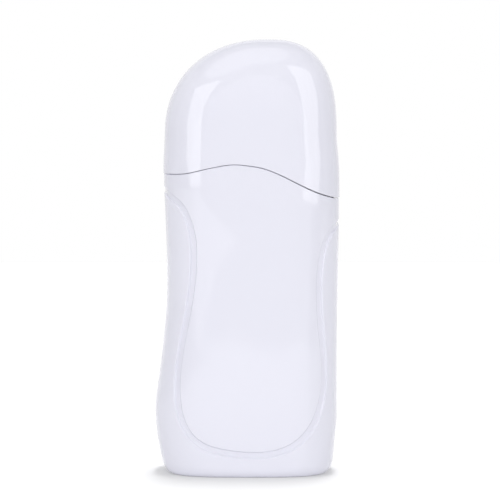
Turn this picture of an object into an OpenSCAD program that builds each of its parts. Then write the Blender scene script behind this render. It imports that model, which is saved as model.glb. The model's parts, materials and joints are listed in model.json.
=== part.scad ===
// Roll-on wax warmer: a lift-off domed cap over a two-part body that holds a heated cartridge well.
// Frame: origin at the middle of the foot, +Z up. The grooved front face looks along -Y, +X is to its right.
// Sizes are in millimetres.

/* [Form] */
// Height of the closed warmer
overall_h = 186; // [184:0.5:188]
// Height at which the sides turn into the dome
dome_z = 145; // [144:0.5:146]
// Sideways place of the dome's highest point
dome_x = 8.9; // [7:0.1:10]
// Sideways place of the middle of the body
body_x = 1.6; // [1.2:0.1:2]
// Squareness of the plan outline: 2 is an ellipse, more is squarer
plan_power = 3; // [2.8:0.05:3.3]
// Wall thickness of the cap and the body shells
wall = 2.2; // [1.8:0.1:2.8]
// Height of the rounded edge round the foot
foot_round_h = 4; // [3:0.5:5]
// How far that edge runs inward
foot_round_in = 2.8; // [2.2:0.1:3.2]

/* [Seam and groove] */
// Open line between the cap's rim and the body's rim
seam_gap = 0.45; // [0.4:0.05:0.6]
// How far the cap stands proud of the body
cap_proud = 0.3; // [0.15:0.05:0.4]
// Width of the moulded groove at the surface
groove_w = 3.6; // [3:0.1:4]
// Depth of the moulded groove
groove_depth = 0.9; // [0.6:0.1:1.1]

/* [Neck] */
// Clearance between the cap's wall and the neck it slides over
neck_clear = 0.5; // [0.45:0.05:0.6]
// Clearance between the cap's guide ribs and the neck
guide_clear = 0.15; // [0.1:0.05:0.2]
// Wall thickness of the neck
neck_wall = 1.6; // [1.4:0.1:1.8]
// Height of the neck's top deck
deck_top = 137.2; // [136.6:0.2:137.8]
// Thickness of the deck
deck_t = 1.8; // [1.6:0.1:2]
// Lower end of the neck
neck_bottom = 109; // [108:0.5:110]

/* [Cartridge well] */
// Sideways place of the well
well_x = 1; // [0.6:0.1:1.2]
// Width of the cartridge bay
bay_w = 53; // [50:0.5:60]
// Depth of the cartridge bay
bay_d = 32; // [29:0.5:36]
// Wall thickness of the aluminium well
well_wall = 1.3; // [1:0.1:1.8]
// Underside of the well's floor
well_z = 24.7; // [24.2:0.1:25]
// Clearance between the well and its cradle
cradle_clear = 0.15; // [0.1:0.05:0.2]

// Free room beside the well, at the narrowest level
side_room = 5.6; // [5.2:0.1:8]
// Free room between the heater's clamp and the neck in front of it
front_room = 0.3; // [0.2:0.1:2]

/* [Heater] */
// Thickness of one mica sheet
mica_t = 0.3; // [0.2:0.05:0.35]
// Thickness of one electrode plate
electrode_t = 0.3; // [0.2:0.05:0.35]
// Thickness of the heating tiles
tile_t = 1.6; // [1.4:0.1:1.7]
// Width of the heating tiles
tile_w = 17; // [15:0.5:17.5]
// Height of one heating tile
tile_h = 20; // [18:0.5:20]
// Thickness of the clamp plate
clamp_t = 0.6; // [0.5:0.1:0.7]

/* [Mains inlet] */
// Diameter of the two contact pins
pin_d = 2.4; // [2.3:0.05:2.5]
// Distance between the pins
pin_pitch = 8.6; // [8.4:0.1:8.8]
// Length of the pins above the socket's floor
pin_len = 9.5; // [9:0.5:10]
// Diameter of their shanks, moulded into that floor
shank_d = 1.9; // [1.7:0.1:2.1]
// Height of the inlet's middle above the foot
inlet_z = 13; // [12.8:0.1:13.4]

/* [Screws] */
// Diameter of the shell screws
shell_screw_d = 2.9; // [2.7:0.1:3]
// Diameter of the small screws
small_screw_d = 2.4; // [2.2:0.1:2.5]
// Radial clearance of a screw in a plain hole
screw_clear = 0.2; // [0.15:0.05:0.25]
// Radial clearance of a screw in its boss, the thread is left out
boss_clear = 0.05; // [0.03:0.01:0.08]

/* [Hidden] */
bay_wall_y = bay_d / 2 + well_wall;
well_w = bay_w + 2 * well_wall;
well_d = bay_d + 2 * well_wall;
stack_t = 2 * mica_t + 2 * electrode_t + tile_t;
clamp_y = -bay_wall_y - stack_t;

// The form grows with the well and the heater inside it.
half_w = well_w / 2 + side_room + wall;
half_d = bay_wall_y + stack_t + clamp_t + front_room + neck_wall + neck_clear + wall;
// Levels of the form: height, then what the side reaches beyond half_w, or the face beyond half_d.
left_form = [[0, -0.6], [6, 1], [13, 2.5], [20, 3.5], [29, 3.9], [37, 3], [50, 1.2], [63, -0.2], [75, -1.1],
    [90, -1.2], [105, -0.8], [122, -0.1], [134, -0.1], [146, -0.6]];
right_form = [[0, 0.1], [6, 1.5], [13, 2.1], [20, 2.9], [30, 3.2], [52, 3.2], [75, 3.4], [95, 3.7],
    [108, 3.9], [124, 3.8], [134, 3.5], [146, 2.6]];
front_form = [[0, -2.1], [12, -0.7], [30, 0.3], [52, 0], [76, -0.4], [96, -0.4], [116, 0], [146, 0.1]];
rear_form = [[0, -2.1], [12, -0.7], [30, 0.1], [60, 0.3], [100, 0.3], [120, 0.2], [146, 0.1]];
// Half width at which the seam and the groove below were drawn. They spread with the width.
drawn_half_w = 35.6;
spread = half_w / drawn_half_w;
// The seam between cap and body: sideways place, then height. Front and rear follow the same wave.
seam_form = [[-38, 128.7], [-34, 128.8], [-27, 129.1], [-19, 130.8], [-12, 132.3], [-6, 133.1], [0, 132.7],
    [6, 131.7], [12, 129.6], [19, 126.2], [26, 122.7], [32, 120.2], [37, 118.7], [41, 117.8]];
seam_mean = 128;
// Middle line of the groove on the front: sideways place, then height, from left round the foot to the right.
groove_line = [[-34.9, 121.4], [-32.5, 119.3], [-28.2, 115.6], [-24.9, 109.5], [-23.1, 102.5], [-22.6, 95],
    [-22.8, 88], [-23.5, 80.8], [-24.6, 73.7], [-25.9, 66.5], [-27.3, 59.4], [-28.5, 52.2], [-29.4, 45],
    [-29.7, 37.8], [-29.2, 30.6], [-27.4, 23.6], [-23.6, 17.5], [-17.8, 13.3], [-10.9, 11.3], [-3.7, 10.2],
    [3.6, 9.8], [10.8, 10.5], [17.7, 12.7], [23.6, 16.7], [28, 22.3], [30.8, 28.9], [32.4, 35.9], [33, 43.1],
    [32.8, 50.3], [32.1, 57.5], [31.4, 64.8], [30.9, 72], [30.7, 79.3], [30.9, 86.5], [31.9, 93.7],
    [34, 101.2], [36.1, 104.7], [38.1, 106.5]];
// Its two ends round the sides, as angle and height: it fades out on the rear half.
groove_start = [[162, 122.2], [165, 122.3], [168, 122.4], [172, 122.4], [176, 122.3], [180, 122.1],
    [186, 121.8]];
groove_finish = [[350, 107.5], [355, 107.9], [360, 108.2], [364, 108.5], [368, 108.7], [372, 108.8],
    [375, 108.9], [378, 108.9]];
// Length over which its depth fades at each end, and the rise of its floor over the surface at the very end
groove_fade = 9;
groove_rise = 0.3;
// Width of each of its two sloping sides
groove_side = 0.85;

half_steps = 40;
plan_step = 180 / half_steps;
body_levels = [0, 0.5, 1.6, foot_round_h, 10, 19, 29, 38, 48, 60, 72, 84, 96, 107, 118, seam_mean];
// The dome's levels stand closer together towards the crown.
dome_rings = 12;
crown_turn = 87;
cap_levels = concat([seam_mean, 134, 140], [for (k = [0 : dome_rings])
    dome_z + (overall_h - dome_z) * sin(k * crown_turn / dome_rings)]);

lip_h = 1.2;
lip_in = wall + 2.2;
seat_in = wall + 0.3;
dome_left_power = 2.2;
dome_right_power = 2.65;
dome_depth_power = 2.4;

skin_white = [0.93, 0.93, 0.97];
inner_white = [0.86, 0.87, 0.9];
aluminium = [0.78, 0.79, 0.8];
steel = [0.66, 0.67, 0.69];
brass = [0.83, 0.69, 0.37];
dark_plastic = [0.16, 0.16, 0.18];

deck_under = deck_top - deck_t;
neck_level = neck_bottom + 3;
neck_in = wall + neck_clear;
stack_bottom = 49;
stack_h = 2 * tile_h + 3;
stack_top = stack_bottom + stack_h;
pad_h = 8;
pad_gap = 3;
low_pad_z = stack_bottom - pad_gap - pad_h / 2;
high_pad_z = stack_top + pad_gap + pad_h / 2;
clamp_screw_z = [low_pad_z, high_pad_z];
strap_w = 9;
thermostat_h = 7;
thermostat_z = high_pad_z + pad_h / 2 + pad_gap;

foot_r = 4.2;
foot_x = half_w - 15;
foot_y = half_d - 13.8;
cover_bottom = lip_h;
cover_t = 2.4;
cover_clear = 0.2;
cover_top = cover_bottom + cover_t;
lug_t = 2;
lug_hole_r = shell_screw_d / 2 + screw_clear;
shell_boss_r = 2.7;
shell_post_r = 3.7;
shell_head_d = 5.4;
head_room = 0.2;
post_step_y = 8;
screw_seat_y = 9.5;
gusset_t = 1.2;
gusset_from_y = 3;
// Lap ribs that line up the two halves of the body
lap_t = 1.2;
lap_reach = 1.6;
lap_root = 3;
lap_clear = 0.15;
lap_sink = 0.2;
lap_step = 0.5;
lap_rows = 7;
upper_screw_z = 103.5;
lower_screw_z = 14;
upper_screws = [[well_x - well_w / 2 - shell_boss_r - 0.15, upper_screw_z],
    [well_x + well_w / 2 + shell_boss_r + 1.4, upper_screw_z]];
lower_screws = [[reach_left(lower_screw_z, wall) + shell_boss_r + 2.9, lower_screw_z],
    [reach_right(lower_screw_z, wall) - shell_boss_r - 2.1, lower_screw_z]];
lug_low_z = upper_screw_z - shell_boss_r;
lug_gap = 0.25;
lug_left = max(reach_left(lug_low_z, wall) + lug_gap, reach_left(neck_level, neck_in));
lug_right = min(reach_right(lug_low_z, wall) - lug_gap, reach_right(deck_top, neck_in));
lap_low = lower_screw_z + shell_boss_r + 5;
lap_high = lug_low_z - 8;
lap_levels = [for (k = [0 : lap_rows]) lap_low + (lap_high - lap_low) * k / lap_rows];
upper_slice = [upper_screw_z - 5, upper_screw_z + 5];
lower_slice = [lower_screw_z - 5, lower_screw_z + 5];
shell_screw_places = concat(upper_screws, lower_screws);

cradle_floor_t = 3.2;
cradle_wall = 1.6;
cradle_rise = 9;
post_r = 3.2;
cradle_x = well_w / 2 - 5.8;
cradle_y = well_d / 2 - 9.3;
cradle_places = [for (x = [well_x - cradle_x, well_x + cradle_x]) for (y = [-cradle_y, cradle_y]) [x, y]];
board_places = [[well_x - 13.6, -15.8], [well_x + 13.6, -15.8]];
board_z = 8;
board_t = 1.6;
// The lamp stands between a rear post of the cradle and the flange of the inlet.
lamp_flange_r = 1.9;
lamp_gap = 0.4;
lamp_x = well_x - cradle_x + post_r + lamp_gap + lamp_flange_r;
lens_r = 2.45;
lens_clear = 0.15;
lens_boss_r = 3.5;
socket_flange_w = 2 * (well_x - lamp_x - lens_boss_r - lamp_gap);

window_z = 75;
window_w = 10.4;
window_h = 46;
window_clear = 0.2;
pane_face_y = half_d - 0.2;
pad_y = half_d - wall - 2.1;
flange_t = 1.6;
inlet_w = 21;
inlet_h = 12.6;
inlet_face_y = half_d - 1.4;
inlet_back_y = inlet_face_y - 16.4;
socket_depth = 13;
socket_floor_y = inlet_face_y - socket_depth;
pin_relief = 0.2;

// Smooth curves through a table of [place, value] rows.

function row_of(table, at, i = 0) =
    i >= len(table) - 2 || at < table[i + 1][0] ? i : row_of(table, at, i + 1);

// The curve runs level at its last row, where the upright sides meet the dome.
function slope_at(table, i) =
    let (a = max(i - 1, 0), b = min(i + 1, len(table) - 1))
    i == len(table) - 1 ? 0 : (table[b][1] - table[a][1]) / (table[b][0] - table[a][0]);

function smooth_value(table, at) =
    let (
        i = row_of(table, at),
        span = table[i + 1][0] - table[i][0],
        t = min(max((at - table[i][0]) / span, 0), 1),
        t2 = t * t,
        t3 = t2 * t
    )
    (2 * t3 - 3 * t2 + 1) * table[i][1] + (t3 - 2 * t2 + t) * span * slope_at(table, i)
    + (3 * t2 - 2 * t3) * table[i + 1][1] + (t3 - t2) * span * slope_at(table, i + 1);

// A place on the smooth line through the given points: 0 is the first point, 1 the second, and so on.
function path_spot(path, at) =
    let (
        n = len(path) - 1,
        i = min(floor(at), n - 1),
        t = at - i,
        a = path[max(i - 1, 0)],
        b = path[i],
        c = path[i + 1],
        d = path[min(i + 2, n)]
    )
    b + (c - a) * t / 2 + (2 * a - 5 * b + 4 * c - d) * t * t / 2 + (3 * b - a - 3 * c + d) * t * t * t / 2;

function ease(t) = let (c = min(max(t, 0), 1)) c * c * (3 - 2 * c);

// The outer form: how far it reaches to each side at one height.

// An inset lowers the crown as well. The cap's proud skin, a negative inset, keeps the crown where it is.
function dome_part(z, inset) = min(max((z - dome_z) / (overall_h - max(inset, 0) - dome_z), 0), 1);

function bulge(u, power) = pow(max(1 - pow(u, power), 0), 1 / power);

function foot_in(z) =
    z >= foot_round_h ? 0 : foot_round_in * (1 - sqrt(1 - pow((foot_round_h - z) / foot_round_h, 2)));

function reach_left(z, inset) =
    z < dome_z ? foot_in(z) + inset - half_w - smooth_value(left_form, z)
    : dome_x - (dome_x + half_w + smooth_value(left_form, dome_z) - inset)
        * bulge(dome_part(z, inset), dome_left_power);

function reach_right(z, inset) =
    z < dome_z ? half_w + smooth_value(right_form, z) - foot_in(z) - inset
    : dome_x + (half_w + smooth_value(right_form, dome_z) - dome_x - inset)
        * bulge(dome_part(z, inset), dome_right_power);

function reach_front(z, inset) =
    z < dome_z ? half_d + smooth_value(front_form, z) - foot_in(z) - inset
    : (half_d + smooth_value(front_form, dome_z) - inset) * bulge(dome_part(z, inset), dome_depth_power);

function reach_rear(z, inset) =
    z < dome_z ? half_d + smooth_value(rear_form, z) - foot_in(z) - inset
    : (half_d + smooth_value(rear_form, dome_z) - inset) * bulge(dome_part(z, inset), dome_depth_power);

function middle_x(z) = z < dome_z ? body_x : body_x + (dome_x - body_x) * pow(dome_part(z, 0), 1.5);

// A point of the plan outline: angle 0 is the right side, 90 the rear, 180 the left side, 270 the front.
function round_power(value) = sign(value) * pow(abs(value), 2 / plan_power);

function form_xy(angle, z, inset) =
    let (
        c = abs(cos(angle)) < 1e-9 ? 0 : round_power(cos(angle)),
        s = abs(sin(angle)) < 1e-9 ? 0 : round_power(sin(angle)),
        side = c >= 0 ? reach_right(z, inset) - middle_x(z) : middle_x(z) - reach_left(z, inset),
        depth = s >= 0 ? reach_rear(z, inset) : reach_front(z, inset)
    )
    [middle_x(z) + side * c, depth * s];

// Depth of the form at one place of the front or rear, for bosses that end inside the wall.
function skin_y(x, z, inset) =
    let (
        side = x > middle_x(z) ? reach_right(z, inset) - middle_x(z) : middle_x(z) - reach_left(z, inset),
        part = min(abs(x - middle_x(z)) / side, 1)
    )
    reach_front(z, inset) * bulge(part, plan_power);

function seam_z(x) = smooth_value(seam_form, x / spread);

// Level lines near the seam follow its wave and flatten out away from it.
function wave_share(level) =
    level <= seam_mean ? ease((level - 68) / (seam_mean - 68)) : 1 - ease((level - seam_mean) / 28);

function form_point(angle, level, inset, lift) =
    let (
        flat = form_xy(angle, level, inset),
        z1 = level + wave_share(level) * (seam_z(flat[0]) - seam_mean),
        near = form_xy(angle, z1, inset),
        z2 = level + wave_share(level) * (seam_z(near[0]) - seam_mean)
    )
    concat(form_xy(angle, z2, inset), [z2 + lift]);

function outline(z, inset, steps) = [for (i = [0 : steps - 1]) form_xy(i * 360 / steps, z, inset)];

// The neck is upright and keeps inside the form from its foot to its deck.
function neck_outline(inset) =
    let (low = outline(neck_level, inset, 2 * half_steps), high = outline(deck_top, inset, 2 * half_steps))
    [for (i = [0 : 2 * half_steps - 1]) [
        abs(low[i][0] - body_x) < abs(high[i][0] - body_x) ? low[i][0] : high[i][0],
        abs(low[i][1]) < abs(high[i][1]) ? low[i][1] : high[i][1]
    ]];

// Closed skins made of level rings.

// Half of the body wall. Outer rings first, then inner rings, both from one parting face to the other.
module half_body(first_angle) {
    rows = len(body_levels);
    wide = half_steps + 1;
    inner_z = concat([0, lip_h, lip_h], [for (j = [3 : rows - 1]) body_levels[j]]);
    inner_in = concat([lip_in, lip_in, seat_in], [for (j = [3 : rows - 1]) wall]);
    outer = [for (j = [0 : rows - 1]) for (i = [0 : half_steps])
        form_point(first_angle + i * plan_step, body_levels[j], 0, 0)];
    inner = [for (j = [0 : rows - 1]) for (i = [0 : half_steps])
        j < 3 ? concat(form_xy(first_angle + i * plan_step, foot_round_h, inner_in[j]), [inner_z[j]])
        : form_point(first_angle + i * plan_step, body_levels[j], wall, 0)];
    n = rows * wide;
    function at(j, i) = j * wide + i;
    faces = concat(
        [for (j = [0 : rows - 2]) for (i = [0 : half_steps - 1]) for (k = [0, 1])
            k == 0 ? [at(j, i), at(j + 1, i), at(j + 1, i + 1)] : [at(j, i), at(j + 1, i + 1), at(j, i + 1)]],
        [for (j = [0 : rows - 2]) for (i = [0 : half_steps - 1]) for (k = [0, 1])
            k == 0 ? [n + at(j, i), n + at(j + 1, i + 1), n + at(j + 1, i)]
            : [n + at(j, i), n + at(j, i + 1), n + at(j + 1, i + 1)]],
        [for (i = [0 : half_steps - 1]) for (k = [0, 1])
            k == 0 ? [at(0, i), at(0, i + 1), n + at(0, i + 1)] : [at(0, i), n + at(0, i + 1), n + at(0, i)]],
        [for (i = [0 : half_steps - 1]) for (k = [0, 1])
            k == 0 ? [at(rows - 1, i), n + at(rows - 1, i), n + at(rows - 1, i + 1)]
            : [at(rows - 1, i), n + at(rows - 1, i + 1), at(rows - 1, i + 1)]],
        [for (j = [0 : rows - 2]) for (k = [0, 1])
            k == 0 ? [at(j, 0), n + at(j + 1, 0), at(j + 1, 0)] : [at(j, 0), n + at(j, 0), n + at(j + 1, 0)]],
        [for (j = [0 : rows - 2]) for (k = [0, 1])
            k == 0 ? [at(j, half_steps), at(j + 1, half_steps), n + at(j + 1, half_steps)]
            : [at(j, half_steps), n + at(j + 1, half_steps), n + at(j, half_steps)]]
    );
    polyhedron(points = concat(outer, inner), faces = faces, convexity = 6);
}

// A slice of the form, filled, to end bosses and posts inside the wall.
module form_slice(levels, inset) {
    wide = 2 * half_steps;
    top = len(levels) - 1;
    points = [for (z = levels) for (i = [0 : wide - 1]) concat(form_xy(i * plan_step, z, inset), [z])];
    faces = concat(
        [for (j = [0 : top - 1]) for (i = [0 : wide - 1]) for (k = [0, 1])
            k == 0 ? [j * wide + i, (j + 1) * wide + i, (j + 1) * wide + (i + 1) % wide]
            : [j * wide + i, (j + 1) * wide + (i + 1) % wide, j * wide + (i + 1) % wide]],
        [[for (i = [0 : wide - 1]) i]],
        [[for (i = [0 : wide - 1]) top * wide + wide - 1 - i]]
    );
    polyhedron(points = points, faces = faces, convexity = 2);
}

// Bosses with a gusset to the side wall. They end inside the wall.
module boss_pair(places, r, from_y, to_y, levels) {
    near_y = max(gusset_from_y, min(abs(from_y), abs(to_y)));
    intersection() {
        form_slice(levels, wall / 2);
        for (p = places) {
            translate([p[0], 0, p[1]]) rod_y(r, from_y, to_y);
            translate([p[0], 0, p[1] - gusset_t / 2]) mirror([p[0] < body_x ? 1 : 0, 0, 0])
                mirror([0, to_y > 0 ? 0 : 1, 0]) translate([0, near_y, 0]) cube([half_w, half_d, gusset_t]);
        }
    }
}

// Tongues inside both side walls of the front half. They reach past the parting face into the rear half.
module lap_ribs() {
    free = wall + lap_clear;
    section = [[-lap_root, wall - lap_sink], [-lap_step, wall - lap_sink], [-lap_step, free],
        [lap_reach, free], [lap_reach, free + lap_t], [-lap_root, free + lap_t]];
    n = len(section);
    top = len(lap_levels) - 1;
    for (side = [-1, 1]) {
        points = [for (z = lap_levels, p = section)
            [side < 0 ? reach_left(z, p[1]) : reach_right(z, p[1]), p[0], z]];
        sides = [for (j = [0 : top - 1]) for (k = [0 : n - 1])
            [j * n + k, (j + 1) * n + k, (j + 1) * n + (k + 1) % n, j * n + (k + 1) % n]];
        // Each end is two convex faces, because the section has an inner corner.
        low_end = [[0, 1, 2, 5], [2, 3, 4, 5]];
        high_end = [for (f = [[5, 2, 1, 0], [5, 4, 3, 2]]) [for (k = f) top * n + k]];
        faces = concat(sides, low_end, high_end);
        polyhedron(points = points, convexity = 4,
            faces = side > 0 ? faces : [for (f = faces) [for (k = [len(f) - 1 : -1 : 0]) f[k]]]);
    }
}

// The whole cap: outer rings, the outer crown point, inner rings, the inner crown point.
module cap_skin() {
    rows = len(cap_levels);
    wide = 2 * half_steps;
    scale_in = (overall_h - wall - dome_z) / (overall_h - dome_z);
    outer = [for (level = cap_levels) for (i = [0 : wide - 1]) form_point(i * plan_step, level, -cap_proud,
        seam_gap * (1 - ease((level - seam_mean) / 12)))];
    inner = [for (level = cap_levels) for (i = [0 : wide - 1])
        form_point(i * plan_step, level <= dome_z ? level : dome_z + (level - dome_z) * scale_in, wall,
            seam_gap * (1 - ease((level - seam_mean) / 12)))];
    n = rows * wide + 1;
    function at(j, i) = j * wide + i % wide;
    points = concat(outer, [[dome_x, 0, overall_h]], inner, [[dome_x, 0, overall_h - wall]]);
    faces = concat(
        [for (j = [0 : rows - 2]) for (i = [0 : wide - 1]) for (k = [0, 1])
            k == 0 ? [at(j, i), at(j + 1, i), at(j + 1, i + 1)] : [at(j, i), at(j + 1, i + 1), at(j, i + 1)]],
        [for (i = [0 : wide - 1]) [at(rows - 1, i), n - 1, at(rows - 1, i + 1)]],
        [for (j = [0 : rows - 2]) for (i = [0 : wide - 1]) for (k = [0, 1])
            k == 0 ? [n + at(j, i), n + at(j + 1, i + 1), n + at(j + 1, i)]
            : [n + at(j, i), n + at(j, i + 1), n + at(j + 1, i + 1)]],
        [for (i = [0 : wide - 1]) [n + at(rows - 1, i), n + at(rows - 1, i + 1), 2 * n - 1]],
        [for (i = [0 : wide - 1]) for (k = [0, 1])
            k == 0 ? [at(0, i), at(0, i + 1), n + at(0, i + 1)] : [at(0, i), n + at(0, i + 1), n + at(0, i)]]
    );
    polyhedron(points = points, faces = faces, convexity = 6);
}

// The moulded groove.

// Each row of the groove's middle line, as an angle and a height on the form.
function groove_angle(x, z) =
    let (
        side = x > middle_x(z) ? reach_right(z, 0) - middle_x(z) : middle_x(z) - reach_left(z, 0),
        c = min(abs(x - middle_x(z)) / side, 1),
        a = acos(pow(c, plan_power / 2))
    )
    x > middle_x(z) ? 360 - a : 180 + a;

groove_ends = concat(groove_start, [for (p = groove_line) [groove_angle(p[0] * spread, p[1]), p[1]]],
    groove_finish);
groove_rows = [for (k = [0 : 2 * len(groove_ends) - 2]) path_spot(groove_ends, k / 2)];
// The rows from which the front half is cut. Those that both halves need lie just past the parting face.
groove_front_first = 6;
groove_front_last = len(groove_rows) - 7;
groove_shared = 6;

function unit(v) = v / norm(v);

function groove_spot(i) = concat(form_xy(groove_rows[i][0], groove_rows[i][1], 0), [groove_rows[i][1]]);

function groove_out(i) =
    let (
        a = groove_rows[i][0],
        z = groove_rows[i][1],
        tangent = form_xy(a + 0.6, z, 0) - form_xy(a - 0.6, z, 0)
    )
    unit([tangent[1], -tangent[0], 0]);

// How far the groove's cutter is drawn out of the surface, so that the groove fades at its two ends.
function groove_lift(i) =
    let (
        last = len(groove_rows) - 1,
        run = min(norm(groove_spot(i) - groove_spot(0)), norm(groove_spot(i) - groove_spot(last)))
    )
    (groove_depth + groove_rise) * (1 - ease(run / groove_fade));

groove_section = [[-groove_w / 2 - 0.7, 1], [-groove_w / 2, 0], [-groove_w / 2 + groove_side, -groove_depth],
    [groove_w / 2 - groove_side, -groove_depth], [groove_w / 2, 0], [groove_w / 2 + 0.7, 1]];

module groove_cutter(first, last) {
    sides = len(groove_section);
    points = [for (i = [first : last])
        let (
            here = groove_spot(i),
            out = groove_out(i),
            along = groove_spot(min(i + 1, len(groove_rows) - 1)) - groove_spot(max(i - 1, 0)),
            across = unit(cross(along, out)),
            lift = groove_lift(i)
        )
        for (p = groove_section) here + across * p[0] + out * (p[1] + lift)];
    steps = last - first;
    faces = concat(
        [for (i = [0 : steps - 1]) for (k = [0 : sides - 1]) for (h = [0, 1])
            h == 0 ? [i * sides + k, (i + 1) * sides + (k + 1) % sides, (i + 1) * sides + k]
            : [i * sides + k, i * sides + (k + 1) % sides, (i + 1) * sides + (k + 1) % sides]],
        [for (k = [1 : sides - 2]) [0, k + 1, k]],
        [for (k = [1 : sides - 2]) [steps * sides, steps * sides + k, steps * sides + k + 1]]
    );
    polyhedron(points = points, faces = faces, convexity = 8);
}

// Small shared shapes.

module stadium(w, d) {
    square([w - d, d], center = true);
    translate([-(w - d) / 2, 0]) circle(d = d, $fn = 64);
    translate([(w - d) / 2, 0]) circle(d = d, $fn = 64);
}

module slot_y(w, h, depth) {
    rotate([90, 0, 0]) linear_extrude(depth, center = true) rotate(90) stadium(h, w);
}

module rod_y(r, from_y, to_y, fn = 40) {
    translate([0, from_y, 0]) rotate([-90, 0, 0]) cylinder(r = r, h = to_y - from_y, $fn = fn);
}

module block(low, high) {
    translate(low) cube(high - low);
}

// A round wire led smoothly through the given points, with a flat end at each end.
module wire(path, r, steps = 3, sides = 8) {
    n = (len(path) - 1) * steps;
    points = [for (j = [0 : n])
        let (
            here = path_spot(path, j / steps),
            ahead = path_spot(path, min(j / steps + 0.01, len(path) - 1)),
            along = ahead - path_spot(path, max(j / steps - 0.01, 0)),
            side = unit(cross(along, [1, 0.02, 0.01])),
            up = unit(cross(side, along))
        )
        for (k = [0 : sides - 1]) here + r * (side * cos(k * 360 / sides) + up * sin(k * 360 / sides))];
    faces = concat(
        [for (j = [0 : n - 1]) for (k = [0 : sides - 1]) for (h = [0, 1])
            h == 0 ? [j * sides + k, (j + 1) * sides + (k + 1) % sides, (j + 1) * sides + k]
            : [j * sides + k, j * sides + (k + 1) % sides, (j + 1) * sides + (k + 1) % sides]],
        [[for (k = [0 : sides - 1]) sides - 1 - k]],
        [[for (k = [0 : sides - 1]) n * sides + k]]
    );
    polyhedron(points = points, faces = faces, convexity = 8);
}

// A pan-head screw, head up, its seat at height 0.
module screw(d, length, head_d, head_h) {
    difference() {
        union() {
            translate([0, 0, -length + 0.8]) cylinder(d = d, h = length - 0.8, $fn = 32);
            translate([0, 0, -length]) cylinder(d1 = d * 0.45, d2 = d, h = 0.8, $fn = 32);
            cylinder(d = head_d, h = head_h * 0.6, $fn = 40);
            translate([0, 0, head_h * 0.6])
                cylinder(d1 = head_d, d2 = head_d * 0.74, h = head_h * 0.4, $fn = 40);
        }
        for (turn = [0, 90]) {
            rotate(turn) translate([-head_d * 0.28, -head_d * 0.07, head_h * 0.45])
                cube([head_d * 0.56, head_d * 0.14, head_h]);
        }
    }
}

// Outer pieces.

module cap() {
    color(skin_white) {
        cap_skin();
        for (x = [well_x - 12.5, well_x + 12.5], side = [-1, 1]) {
            guide_y = guide_clear
                + (side < 0 ? reach_front(neck_level, neck_in) : reach_rear(neck_level, neck_in));
            translate([x - 0.7, side > 0 ? guide_y : -guide_y - 1.2, deck_under - 1.4]) cube([1.4, 1.2, 12]);
        }
    }
}

module front_shell() {
    color(skin_white)
    difference() {
        union() {
            half_body(180);
            boss_pair(upper_screws, shell_boss_r, -half_d, -lug_t / 2, upper_slice);
            boss_pair(lower_screws, shell_boss_r, -half_d, -lug_t / 2, lower_slice);
            lap_ribs();
        }
        for (p = shell_screw_places) {
            translate([p[0], 0, p[1]]) rod_y(shell_screw_d / 2 + boss_clear, -13, 0);
        }
        groove_cutter(groove_front_first, groove_front_last);
    }
}

module rear_shell() {
    color(skin_white)
    difference() {
        union() {
            half_body(0);
            boss_pair(upper_screws, shell_post_r, post_step_y, half_d, upper_slice);
            boss_pair(lower_screws, shell_post_r, post_step_y, half_d, lower_slice);
            for (p = shell_screw_places) {
                translate([p[0], 0, p[1]]) rod_y(shell_boss_r, lug_t / 2, post_step_y + 0.5);
            }
            block([well_x - 10, pad_y, window_z - 28], [well_x + 10, half_d - wall / 2 - 0.2, window_z + 28]);
            block([well_x - 13.5, pad_y, cover_top + 0.2],
                [well_x + 13.5, half_d - wall + 0.3, inlet_z + 9.4]);
            translate([lamp_x, 0, inlet_z]) rod_y(lens_boss_r, pad_y - 3, half_d - wall - 0.5);
        }
        for (p = shell_screw_places) {
            translate([p[0], 0, p[1]]) rod_y(lug_hole_r, 0, screw_seat_y + 1);
            translate([p[0], 0, p[1]]) rod_y(shell_head_d / 2 + head_room, screw_seat_y, half_d + 5);
        }
        translate([well_x, half_d, window_z])
            slot_y(window_w + 2 * window_clear, window_h + 2 * window_clear, 12);
        translate([well_x, half_d, inlet_z]) rotate([90, 0, 0]) linear_extrude(12, center = true)
            inlet_outline(window_clear);
        translate([lamp_x, 0, inlet_z]) rod_y(lens_r + lens_clear, pad_y - 5, half_d + 5);
        groove_cutter(0, groove_front_first + groove_shared);
        groove_cutter(groove_front_last - groove_shared, len(groove_rows) - 1);
    }
}

module mouth_collar() {
    color(inner_white)
    difference() {
        union() {
            difference() {
                translate([0, 0, neck_bottom]) linear_extrude(deck_top - neck_bottom)
                    polygon(neck_outline(neck_in));
                translate([0, 0, neck_bottom - 1]) linear_extrude(deck_under - neck_bottom + 1)
                    polygon(neck_outline(neck_in + neck_wall));
            }
            block([lug_left, -lug_t / 2, lug_low_z],
                [upper_screws[0][0] + shell_boss_r - 0.3, lug_t / 2, neck_bottom + 6]);
            block([upper_screws[1][0] - shell_boss_r + 0.3, -lug_t / 2, lug_low_z],
                [lug_right, lug_t / 2, neck_bottom + 6]);
        }
        translate([well_x, 0, deck_under - 1]) linear_extrude(deck_t + 2) stadium(bay_w, bay_d);
        translate([well_x, 0, deck_top - 0.8]) linear_extrude(1) stadium(bay_w + 1.2, bay_d + 1.2);
        for (p = upper_screws) {
            translate([p[0], 0, p[1]]) rod_y(lug_hole_r, -3, 3);
        }
    }
}

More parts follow.
